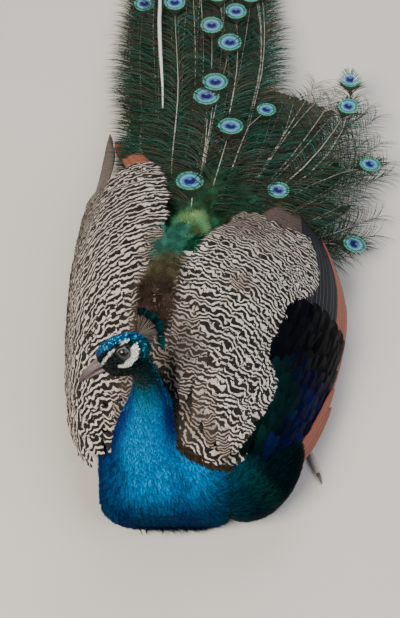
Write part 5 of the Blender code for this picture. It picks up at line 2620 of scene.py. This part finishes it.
@dataclass
class Train:
    """Over a hundred long feathers with loose barbs and an eye near each tip.

    Args:
        finishes: The feathers' finishes.
        seed: The seed of all small irregularities.
        tries: How many random places are tried for the eyes.
        most_eyes: How many feathers with an eye there are.
        least_gap: The least distance between two eyes.
        near_step: The distance between barbs along a shaft near the body.
        far_step: The distance further out.
        near_end: How far out the near barbs end.
        feathers: The feathers, which arrange chooses.
    """

    finishes: Feathers
    seed: int = 21
    tries: int = 5000
    most_eyes: int = 88
    least_gap: float = 0.046
    near_step: float = 0.0036
    far_step: float = 0.0072
    near_end: float = 0.60
    feathers: list[TrainFeather] = field(default_factory=list)

    def arrange(self) -> None:
        """Chooses each feather's place and eye so that the eyes lie evenly over the train."""
        rng = np.random.default_rng(self.seed)
        taken = [np.array(spot[:2]) for spot in NEAR_EYES]
        for x, y, bronze in NEAR_EYES:
            across, far = TRAIN.across_at(x, y)
            self.feathers.append(TrainFeather(across, far, 0.001, bronze, sway=rng.uniform(-0.15, 0.15)))
        for _ in range(self.tries):
            across = rng.uniform(0.04, 1.96)
            length = TRAIN.length(across)[0]
            far = rng.uniform(0.56, length - 0.045)
            spot = TRAIN.place(across, far)[0, :2]
            gap = min(np.linalg.norm(spot - other) for other in taken)
            if len(self.feathers) > self.most_eyes or gap < self.least_gap:
                continue
            taken.append(spot)
            sink = 0.003 + 0.009 * far / length
            self.feathers.append(TrainFeather(across, far, sink, rng.uniform(0, 1) ** 2,
                                              sway=rng.uniform(-0.25, 0.25)))
        for across in np.concatenate((np.linspace(0.02, 1.88, 12), np.linspace(2.03, 2.97, 24))):
            length = TRAIN.length(across)[0]
            eye = length - 0.030 - (across > 2) * rng.uniform(0.0, 0.08)
            self.feathers.append(TrainFeather(float(across), eye, 0.012 - (across > 2) * 0.006, 0.0, True,
                                              rng.uniform(-0.05, 0.05)))

    def shafts(self) -> Object:
        """The pale tapered shafts, with one stout old quill among them.

        Returns:
            The piece.
        """
        paths, radii, tints = [], [], []
        for feather in self.feathers:
            count = max(6, int(feather.eye / 0.045))
            steps = np.linspace(0, 1, count)
            paths.append(feather.line(np.linspace(0.03, feather.eye, count)) + np.array((0, 0, 0.0022)))
            radii.append((0.00135 - 0.00095 * steps) * (1.25 if feather.across > 2 else 1.0))
            tints.append(mix("D2CCBE", "847C70", steps))
        steps = np.linspace(0, 1, 12)
        across, near = TRAIN.across_at(-0.026, 0.424)
        paths.append(TRAIN.place(np.full(12, across) - 0.12 * steps, near + 0.46 * steps, -0.0060))
        radii.append(0.0010 + 0.0020 * np.minimum(1, steps * 3))
        tints.append(tile("E9E4DA", 12))
        return tubes("train_shafts", paths, radii, tints, self.finishes.shaft, 6)

    def barb_template(self, bend: float, seed: int) -> Object:
        """One loose barb, one unit long, that bends outwards from the shaft.

        Args:
            bend: The angle by which it turns, in degrees; below 0 it turns to the left.
            seed: The seed of its small irregularities.

        Returns:
            The template.
        """
        rng = np.random.default_rng(seed)
        steps = np.linspace(0, 1, 6)
        heading = np.radians(bend) * (steps[:-1] + 0.1 - 0.5)
        walk = np.vstack(((0, 0), np.cumsum(np.column_stack((np.sin(heading), np.cos(heading))) / 5, axis=0)))
        middle = np.column_stack((walk, rng.uniform(-0.012, 0.012, 6)))
        return strip_template([(middle, np.array((0.8, 1.0, 0.95, 0.8, 0.55, 0.0)) * 0.0095)], arch=0.06)

    def barbs(self, sector: Sector) -> list[Object]:
        """All loose barbs of the feathers in one sector.

        Args:
            sector: The sector.

        Returns:
            The piece near the body and the piece further out, if there is one.
        """
        rng = np.random.default_rng(self.seed + 1 + sector.value)
        rows = []
        for feather in self.feathers:
            if min(int(feather.across), 2) != sector.value:
                continue
            end = feather.eye - (0.030 if not feather.plain else -0.02)
            near = np.arange(0.05, min(end, self.near_end), self.near_step)
            far = np.concatenate((near, np.arange(near[-1] + self.far_step, end, self.far_step)))
            count = len(far)
            share = far / feather.eye
            path = feather.line(far + rng.uniform(-0.3, 0.3, count) * self.near_step)
            ahead = unit(np.gradient(feather.line(far), axis=0))
            # Each feather has its own shade, and along it dull and green stretches follow one another.
            own = rng.uniform(0.40, 1.05)
            lean, phase = rng.uniform(-9, 9), rng.uniform(0, 6)
            for side in (-1, 1):
                across = unit(np.cross(ahead, UP)) * side
                wave = 7 * np.sin(far * 23 + phase)
                angle = np.radians(62 - 20 * share + lean * side + wave + rng.uniform(-8, 8, count))
                way = ahead * np.cos(angle)[:, None] + across * np.sin(angle)[:, None]
                way[:, 2] += rng.uniform(-0.05, 0.03, count)
                long = (0.036 + 0.022 * np.sin(np.pi * share ** 0.8)) * rng.uniform(0.75, 1.15, count)
                tone = 0.5 + 0.5 * np.sin(far * 37 + rng.uniform(0, 6)) + rng.normal(0, 0.2, count)
                tint = mix("564E40", "2A4A3A", np.clip(tone, 0, 1))
                # Painted glints: a few barbs are painted bright teal, as where a barb catches the light.
                tint = mix(tint, "2A8070", rng.uniform(0, 1, count) ** 7)
                rows.append((path, unit(way), long, tint * own * rng.uniform(0.35, 1.25, (count, 1)),
                             rng.integers(0, 3, count) + (0 if side > 0 else 3), far))
        points, ways, long, tints, kinds, reaches = (np.concatenate(column) for column in zip(*rows))
        root = over_box(points)
        points[:, 2] = np.maximum(points[:, 2], 0.002)
        ways[:, 2] = np.maximum(ways[:, 2], -(points[:, 2] - 0.0015) / 0.07)
        made = []
        for part, keep in (("near", reaches < self.near_end), ("far", reaches >= self.near_end)):
            if not keep.any():
                continue
            size = np.repeat(long[keep, None], 3, axis=1)
            spread = Spread(points[keep], ways[keep], UP, size, tints[keep], root[keep], kinds[keep])
            templates = [self.barb_template((30 + 16 * (i % 3)) * (1 if i < 3 else -1), i)
                         for i in range(6)]
            name = f"train_barbs_{sector.name.lower()}_{part}"
            made.append(copies(name, spread, templates, self.finishes.train))
        return made

    def eye_template(self, seed: int) -> Object:
        """Barbs that sweep round an eye, dense inside it and loose beyond, with the eye's middle at y 0.45.

        Args:
            seed: The seed of its small irregularities.

        Returns:
            The template, one unit long for 0.11 m.
        """
        rng = np.random.default_rng(seed)
        strips = []
        count = 30
        for index in range(count):
            share = index / (count - 1)
            root = 0.10 + 0.47 * share
            begin = math.radians(34 - 28 * share ** 1.5)
            finish = math.radians(74 - 62 * share ** 1.2)
            reach = 0.44 - 0.06 * share
            for side in (-1, 1):
                steps = np.linspace(0, 1, 6)
                heading = begin + (finish - begin) * steps[:-1] ** 0.8 + rng.normal(0, 0.03)
                walk = np.column_stack((side * np.sin(heading), np.cos(heading)))
                walk = walk * reach * rng.uniform(0.85, 1.0) / 5
                path = np.vstack(((0, root), np.array((0, root)) + np.cumsum(walk, axis=0)))
                gap = np.hypot(path[:, 0] / 0.17, (path[:, 1] - 0.45) / 0.20)
                half = np.where(gap < 1.1, 0.0105, 0.0042)
                half[0], half[-1] = 0.008, 0.0
                strips.append((np.column_stack((path, rng.uniform(0, 0.010, 6))), half))
        return strip_template(strips, 0.03, 0.02)

    def eyes(self) -> Object:
        """The dense eyes at the feathers' ends.

        Returns:
            The piece.
        """
        rng = np.random.default_rng(self.seed + 9)
        eyed = [feather for feather in self.feathers if not feather.plain]
        # A fan feather's eye is smaller than one of the long bundle.
        reach = np.array([0.078 if feather.across > 2 else 0.098 for feather in eyed])
        reach = reach * rng.uniform(0.92, 1.06, len(eyed))
        ends = np.array([feather.line(np.array((feather.eye - 0.45 * long, feather.eye)))
                         for feather, long in zip(eyed, reach)])
        ends[..., 2] += 0.0030
        count = len(eyed)
        size = np.repeat(reach[:, None], 3, axis=1)
        tint = mix("1E2418", "12281F", rng.uniform(0, 1, count))
        bronze = np.array([feather.bronze for feather in eyed])
        # Painted sheen: the barbs of a bronze eye are painted bronze brown.
        tint = mix(tint, "3A2E24", bronze * 0.7)
        roots, patch = cells(count)
        kinds = rng.integers(0, 3, count)
        mark = np.column_stack((bronze, reach / 0.105, bronze))
        ways = unit(ends[:, 1] - ends[:, 0])
        spread = Spread(ends[:, 0], ways, UP, size, tint, roots, kinds, mark, ends[:, 1])
        templates = [self.eye_template(120 + i) for i in range(3)]
        return copies("train_eyes", spread, templates, self.finishes.eye, patch)

    def scales(self) -> Object:
        """The short bright green and gold feathers that cover the train's root.

        Returns:
            The piece.
        """
        rng = np.random.default_rng(self.seed + 5)
        fars = np.arange(0.125, 0.0, -0.008)
        far = np.repeat(fars, 34)
        across = np.tile(np.linspace(0.05, 2.6, 34), len(fars)) + rng.uniform(-0.06, 0.06, len(far))
        count = len(far)
        places = TRAIN.place(across, far, 0.004)
        ahead = TRAIN.place(across, far + 0.03, -0.001)
        tuft = np.exp(-((places[:, 0] - 0.012) / 0.016) ** 2 - ((places[:, 1] - 0.143) / 0.020) ** 2)
        loose = np.column_stack((rng.normal(0, 0.45, (count, 2)), rng.uniform(0.0, 0.4, count)))
        loose = tuft[:, None] * loose
        length = 0.016 + 0.006 * tuft + rng.uniform(0, 0.008, count)
        tint = mix("343E26", "1A5A40", rng.uniform(0, 1, count))
        tint = mix(tint, mix("5EA878", "A0B468", rng.uniform(0, 1, count)), tuft * 0.9)
        size = np.column_stack((length * 0.9, length, length))
        spread = Spread(places, unit(unit(ahead - places) + loose), UP, size,
                        tint * rng.uniform(0.3, 1.6, (count, 1)), over_box(places), rng.integers(0, 3, count))
        templates = [lock_template(11, 64, 0.020, 0.04) for _ in range(3)]
        return copies("train_scales", spread, templates, self.finishes.train, 0.01)

    def beds(self) -> list[Object]:
        """The dense soft lower barbs in painted shade under the loose ones, as one closed sheet each for
        bundle and fan.

        Returns:
            The two pieces.
        """
        made = []
        sheets = (("train_bed", 0.05, 1.95, 0.035), ("train_fan_bed", 2.06, 2.94, 0.08))
        for name, first, last, start in sheets:
            rows = 30
            across = np.linspace(first, last, 32)
            top, under = [], []
            for step in np.linspace(0, 1, rows):
                # The down ends in uneven lobes, well short of the loose barbs.
                lobes = 0.06 * np.sin(across * 31) + 0.03 * np.sin(across * 73)
                ends = TRAIN.length(across) * ((0.66 if first > 2 else 0.84) + lobes)
                far = start + (ends - start) * step
                face = TRAIN.place(across, far, 0.015)
                base = face.copy()
                base[:, 2] = np.maximum(TRAIN.floor(across, far)[0] + 0.001, 0.0008)
                face[:, 2] = np.maximum(face[:, 2], base[:, 2] + 0.0012)
                top.append(face)
                under.append(base)
            made.append(sheet(name, np.concatenate(top), np.concatenate(under), rows, self.finishes.bed))
        return made


@dataclass
class Tail:
    """The stiff brown tail feathers that prop the train.

    Args:
        finishes: The feathers' finishes.
        count: How many feathers there are.
        turn: How far the outermost feathers turn from the middle one, in degrees.
        heading: Where the middle one heads, in degrees from the rear to the left.
        root: How far from the train's root they start.
        tip: How far from it they end.
    """

    finishes: Feathers
    count: int = 18
    turn: float = 18.0
    heading: float = 12.0
    root: float = 0.09
    tip: float = 0.41

    def build(self) -> Object:
        """Builds the tail feathers.

        Returns:
            The piece.
        """
        turns = np.linspace(-self.turn, self.turn, self.count)
        heading = np.radians(self.heading + turns)
        way = np.column_stack((np.sin(heading), np.cos(heading), np.zeros(self.count)))
        middle = np.array((TRAIN.root_x, TRAIN.root_y, 0.0))
        start, end = middle + way * self.root, middle + way * self.tip
        under = np.array(TRAIN.under)
        depth = 0.003 + 0.005 * np.abs(turns) / self.turn
        start[:, 2] = smooth_at(under, np.full(self.count, self.root))[:, 0] - depth
        end[:, 2] = np.maximum(smooth_at(under, np.full(self.count, self.tip))[:, 0] - depth, 0.003)
        way = end - start
        length = np.linalg.norm(way, axis=1) * 0.99
        rng = np.random.default_rng(4)
        size = np.column_stack((np.full(self.count, 0.048), length, np.full(self.count, 0.05)))
        mark = np.tile((0.0, 0.12, 0.008), (self.count, 1))
        mark[:, 0] = rng.uniform(0, 1, self.count)
        tint = tile("5A4A3C", self.count) * rng.uniform(0.85, 1.1, (self.count, 1))
        spread = Spread(start, unit(way), UP, size, tint, cells(self.count)[0],
                        rng.integers(0, 2, self.count), mark)
        templates = [vane_template(44, 0.5, 140 + i, 0.9, 20.0, 0.02, 0.03) for i in range(2)]
        return copies("tail_feathers", spread, templates, self.finishes.quill, 0.18)


# ---------------------------------------------------------------- legs


# The height of a leg's and a toe's section, as a share of its width.
FLATNESS = 0.92
HEELS = {Side.LEFT: (0.128, 0.074), Side.RIGHT: (-0.086, 0.104)}
ANKLES = {Side.LEFT: (0.150, -0.056), Side.RIGHT: (-0.099, -0.020)}
TOES = (("inner", 0.042, -38.0), ("middle", 0.054, -11.0), ("outer", 0.046, 17.0), ("hind", 0.020, -120.0))


@dataclass
class Leg:
    """The bare lower leg and foot of one side, flat on the floor, with scutes and claws.

    Args:
        side: Which leg.
        tarsus_radii: The tarsus's radius at the heel, below it, above the ankle and at the ankle.
        toe_root: A toe's radius at its root.
        toe_tip: Its radius at its tip.
        claw_radius: A claw's radius at its root.
        claw_length: A claw's length.
    """

    side: Side
    tarsus_radii: tuple[float, ...] = (0.0083, 0.0057, 0.0058, 0.0073)
    toe_root: float = 0.0050
    toe_tip: float = 0.0035
    claw_radius: float = 0.0025
    claw_length: float = 0.014

    def limb(
        self, name: str, points: Array, radii: Array, material: Material, scute: float, rise: float,
        flat: float = FLATNESS
    ) -> Object:
        """A tapering limb ringed by scutes.

        Args:
            name: The piece's name.
            points: Its middle line.
            radii: Its radius at each point.
            material: Its finish.
            scute: A scute's length, or 0 for none.
            rise: How far a scute's lower edge stands out, as a share of the radius.
            flat: Its height, as a share of its width.

        Returns:
            The piece.
        """
        length = float(np.linalg.norm(np.diff(points, axis=0), axis=1).sum())
        rows = max(10, int(length / 0.0008))
        share = np.linspace(0, 1, rows)
        table = np.column_stack((np.linspace(0, 1, len(points)), points, radii))
        line = smooth_at(table, share)
        angles = circle(20)
        ahead = unit(np.gradient(line[:, :3], axis=0))
        across = unit(np.cross(ahead, UP))
        up = np.cross(across, ahead)
        rings = []
        for index in range(rows):
            radius = line[index, 3]
            swell = 1.0
            if scute:
                phase = (share[index] * length / scute) % 1.0
                swell = 1 - rise * (1 - phase) ** 2 * 0.9
            top = np.where(np.sin(angles) > -0.2, swell, 1 - 0.3 * rise)
            end = math.sqrt(max(0.0, 1 - max(0.0, (share[index] - 0.96) / 0.042) ** 2))
            begin = math.sqrt(max(0.0, 1 - max(0.0, (0.03 - share[index]) / 0.032) ** 2))
            radius *= min(end, begin)
            ring = line[index, :3] + radius * top[:, None] * (
                np.cos(angles)[:, None] * across[index] + np.sin(angles)[:, None] * up[index] * flat)
            rings.append(ring)
        return lofted(name, rings, material, 0.0)

    def build(self, skin: Material, horn: Material) -> dict[str, Object]:
        """Builds the tarsus, toes and claws.

        Args:
            skin: The scaly skin's finish.
            horn: The claws' finish.

        Returns:
            The pieces by the node they replace.
        """
        name = self.side.name.lower()
        heel = np.array((*HEELS[self.side], self.tarsus_radii[0] * FLATNESS))
        ankle = np.array((*ANKLES[self.side], self.tarsus_radii[3] * FLATNESS))
        steps = np.array((0.0, 0.2, 0.85, 1.0))[:, None]
        line = heel + (ankle - heel) * steps
        radii = np.array(self.tarsus_radii)
        made = {f"tarsus_{name}": self.limb(f"tarsus_{name}_skin", line, radii, skin, 0.0052, 0.10)}
        for toe, length, turn in TOES:
            heading = math.radians(turn) * self.side.value
            way = np.array((math.sin(heading), -math.cos(heading), 0.0))
            start = ankle + way * (self.tarsus_radii[3] * 0.6)
            start[2] = self.toe_root * FLATNESS
            end = ankle + way * (self.tarsus_radii[3] + self.toe_root * 0.6 + length)
            end[2] = self.toe_tip * FLATNESS
            share = np.linspace(0, 1, 9)[:, None]
            radii = (self.toe_root + (self.toe_tip - self.toe_root) * share[:, 0]) * (
                1 + 0.07 * np.cos(share[:, 0] * 2 * math.pi * 3))
            radii = np.minimum(radii, self.toe_root)
            joints = start + (end - start) * share
            joints[:, 2] = radii * FLATNESS
            made[f"toe_{toe}_{name}"] = self.limb(f"toe_{toe}_{name}_skin", joints, radii, skin, 0.0034, 0.12)
            nail_share = np.linspace(0, 1, 6)[:, None]
            nail = end - way * 0.002 + way * (self.claw_length + 0.001) * nail_share
            nail[:, 2] = 0.0029 + 0.0010 * np.sin(nail_share[:, 0] * math.pi) - 0.0022 * nail_share[:, 0] ** 2
            girth = self.claw_radius * (1 - nail_share[:, 0] ** 1.6 * 0.86)
            claw = f"claw_{toe}_{name}"
            made[claw] = self.limb(f"{claw}_horn", nail, girth, horn, 0.0, 0.0, 0.95)
        return made


# ---------------------------------------------------------------- stage


@dataclass(frozen=True)
class Stage:
    """The pale floor, the soft lights and the camera.

    Args:
        floor: The floor's colour.
        camera: Where the camera stands.
        tilt_deg: How far it is raised from looking straight down.
        lens: Its focal length for a sensor 36 mm wide.
    """

    floor: str = "D8D3CA"
    camera: tuple[float, float, float] = (0.027, -0.59, 1.10)
    tilt_deg: float = 33.0
    lens: float = 58.2524271845

    def light(
        self, name: str, place: tuple[float, float, float], aim: tuple[float, float, float], size: float,
        power: float, colour: str
    ) -> None:
        """One soft square lamp.

        Args:
            name: The lamp's name.
            place: Where it hangs.
            aim: What it looks at.
            size: Its side.
            power: Its power in watts.
            colour: Its colour.
        """
        data = bpy.data.lights.new(name, "AREA")
        data.size = size
        data.energy = power
        data.color = tuple(linear(colour))
        lamp = bpy.data.objects.new(name, data)
        lamp.location = place
        way = Vector(aim) - Vector(place)
        lamp.rotation_euler = way.to_track_quat("-Z", "Y").to_euler()
        bpy.context.scene.collection.objects.link(lamp)

    def build(self) -> None:
        """Builds the floor, the lights, the world and the camera."""
        corners = np.array(((-9.0, -9.0, 0.0), (9.0, -9.0, 0.0), (9.0, 9.0, 0.0), (-9.0, 9.0, 0.0)))
        floor = mesh_object("floor", corners, [(0, 1, 2, 3)])
        shade(floor, Paint("matt_pale_floor").finish(rgba(self.floor), Roughness=0.9), False)
        self.light("key", (-1.5, -1.2, 2.4), (0.0, 0.0, 0.05), 1.5, 112.0, "FFF6EA")
        self.light("fill", (1.9, -0.6, 2.0), (0.05, 0.1, 0.05), 2.2, 42.0, "EAF2FF")
        self.light("rear", (0.4, 2.6, 2.2), (0.1, 0.4, 0.05), 2.0, 48.0, "FFFFFF")
        world = bpy.data.worlds.new("studio")
        world.use_nodes = True
        world.node_tree.nodes["Background"].inputs["Color"].default_value = rgba("DDE3EA")
        world.node_tree.nodes["Background"].inputs["Strength"].default_value = 0.28
        bpy.context.scene.world = world
        data = bpy.data.cameras.new("camera")
        data.lens = self.lens
        data.sensor_width = 36.0
        data.sensor_fit = "AUTO"
        view = bpy.data.objects.new("camera", data)
        view.location = self.camera
        view.rotation_euler = (math.radians(self.tilt_deg), 0.0, 0.0)
        bpy.context.scene.collection.objects.link(view)
        bpy.context.scene.camera = view


# ---------------------------------------------------------------- the whole bird


FLESH = ("head", "neck_upper", "neck_lower", "breast", "trunk", "rump", "thigh_left", "thigh_right")


@dataclass
class Peacock:
    """Every visible piece of the bird, each riding its one body.

    Args:
        finishes: The feathers' finishes, which build makes.
    """

    finishes: Feathers | None = None

    def wear(self, piece: Object, nodes: tuple[str, ...]) -> None:
        """Hangs a finished piece on the body in place of its nodes.

        Args:
            piece: The piece.
            nodes: The nodes it replaces.
        """
        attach(piece, "root")
        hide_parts(*nodes)
        piece.data.calc_loop_triangles()
        count = len(piece.data.loop_triangles)
        LOG.info("%s: %d triangles in place of %d nodes", piece.name, count, len(nodes))

    def make_finishes(self) -> None:
        """Makes the feathers' finishes."""
        self.finishes = Feathers(
            # Barbs with a fine structure: a deep blue and green that glints like metal on a dark ground.
            body=FeatherFinish("short_plumage_barbs", 0.55, 0.25, 0.18, 0.60, "0A3A50").build(),
            # The same barbs in a small dense fan, so the tips look darker between the glints.
            crest=FeatherFinish("crest_fan_barbs", 0.55, 0.25, 0.10, 0.45, "0A4A50").build(),
            # Pigmented vanes without glint: matt cream bars on near black.
            barred=BarredFinish().build(),
            # Close smooth vanes: a satin gloss over navy and green.
            dark=FeatherFinish("glossy_dark_coverts", 0.40, 0.35, 0.45, 0.25, "1E2838").build(),
            # Stiff matt vanes, chestnut or grey, with weak dull bars on some.
            quill=BarredFinish("quill_vane", "9A8A7C").build(),
            # Loose separate barbs: dull bronze green that turns bright where a barb catches the light.
            train=FeatherFinish("loose_train_barbs", 0.50, 0.20, 0.85, 0.30, "3A4A40").build(),
            # Dense structured barbs: saturated rings that stay clear from any side.
            eye=OcellusFinish().build(),
            # Bare keratin, polished by preening: pale and softly shiny.
            shaft=PlainFinish("pale_shaft_keratin", roughness=0.35).build(),
            # Down in deep shade: soft and nearly black, without any shine.
            bed=PlainFinish("soft_down", "110F0C", "26241C", 260.0, 0.95).build(),
        )

    def build_body(self) -> None:
        """Builds the skin and its coat."""
        skin = Skin().build(PlainFinish("bird_skin", roughness=0.9).build())
        for piece in (*Coat().build(skin, self.finishes.body), Mantle(self.finishes).build(skin), skin):
            self.wear(piece, FLESH)

    def build_head(self) -> None:
        """Builds the bill, eyes, lids and crest."""
        # Worn horn: a soft sheen, with a little light under the surface.
        horn = PlainFinish("bill_horn", roughness=0.42, coat=0.15, subsurface=0.1).build()
        # The shaded hollow of a nostril: matt and nearly black.
        dark = PlainFinish("nostril_dark", "14100F", "1C1614", 300.0, 0.8).build()
        for node, pieces in Bill().build(horn, dark).items():
            for piece in pieces:
                self.wear(piece, (node,))
        ball = EyeFinish().build()
        # Fine wrinkled skin: pale grey and matt.
        lid = PlainFinish("bare_lid_skin", "4A4E46", "848C80", 900.0, 0.6, bump=0.0002).build()
        for side in (1, -1):
            for piece in Eye(side).build(ball, lid):
                self.wear(piece, (f"eye_{side_name(side)}",))
        for piece in Crest().build(self.finishes.crest, self.finishes.shaft):
            self.wear(piece, ("crest",))

    def build_wings(self) -> None:
        """Builds both wings."""
        for form, plan in ((LEFT_WING, LEFT_PLAN), (RIGHT_WING, RIGHT_PLAN)):
            wing = Wing(form, plan)
            for piece in WingDress(wing, self.finishes).build():
                flight = "quills" in piece.name or "shafts" in piece.name
                self.wear(piece, wing.nodes())

    def build_train(self) -> None:
        """Builds the train and the tail."""
        train = Train(self.finishes)
        train.arrange()
        for sector in Sector:
            nodes = tuple(f"train_{band}_{sector.name.lower()}" for band in BANDS)
            for piece in train.barbs(sector):
                self.wear(piece, nodes)
        every = tuple(f"train_{band}_{sector.name.lower()}" for band in BANDS for sector in Sector)
        for piece in (train.eyes(), train.scales(), train.shafts(), *train.beds()):
            self.wear(piece, every)
        self.wear(Tail(self.finishes).build(), ("tail",))

    def build_legs(self) -> None:
        """Builds both legs."""
        # Dry scales: pinkish grey, with a dull sheen on each scute.
        skin = PlainFinish("scaly_leg_skin", "9A8A88", "C0B0AA", 420.0, 0.55, bump=0.0003).build()
        # Hard worn horn: dark, with a smooth gloss.
        horn = PlainFinish("claw_horn", "3A322E", "6A5C52", 300.0, 0.35, coat=0.2).build()
        for side in Side:
            for node, piece in Leg(side).build(skin, horn).items():
                self.wear(piece, (node,))

    def build(self) -> None:
        """Builds the bird."""
        self.make_finishes()
        self.build_body()
        self.build_head()
        self.build_wings()
        self.build_train()
        self.build_legs()


def main() -> None:
    """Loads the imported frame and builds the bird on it."""
    logging.basicConfig(level=logging.INFO, format="%(message)s")
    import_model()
    Peacock().build()
    Stage().build()


if __name__ == "__main__":
    main()
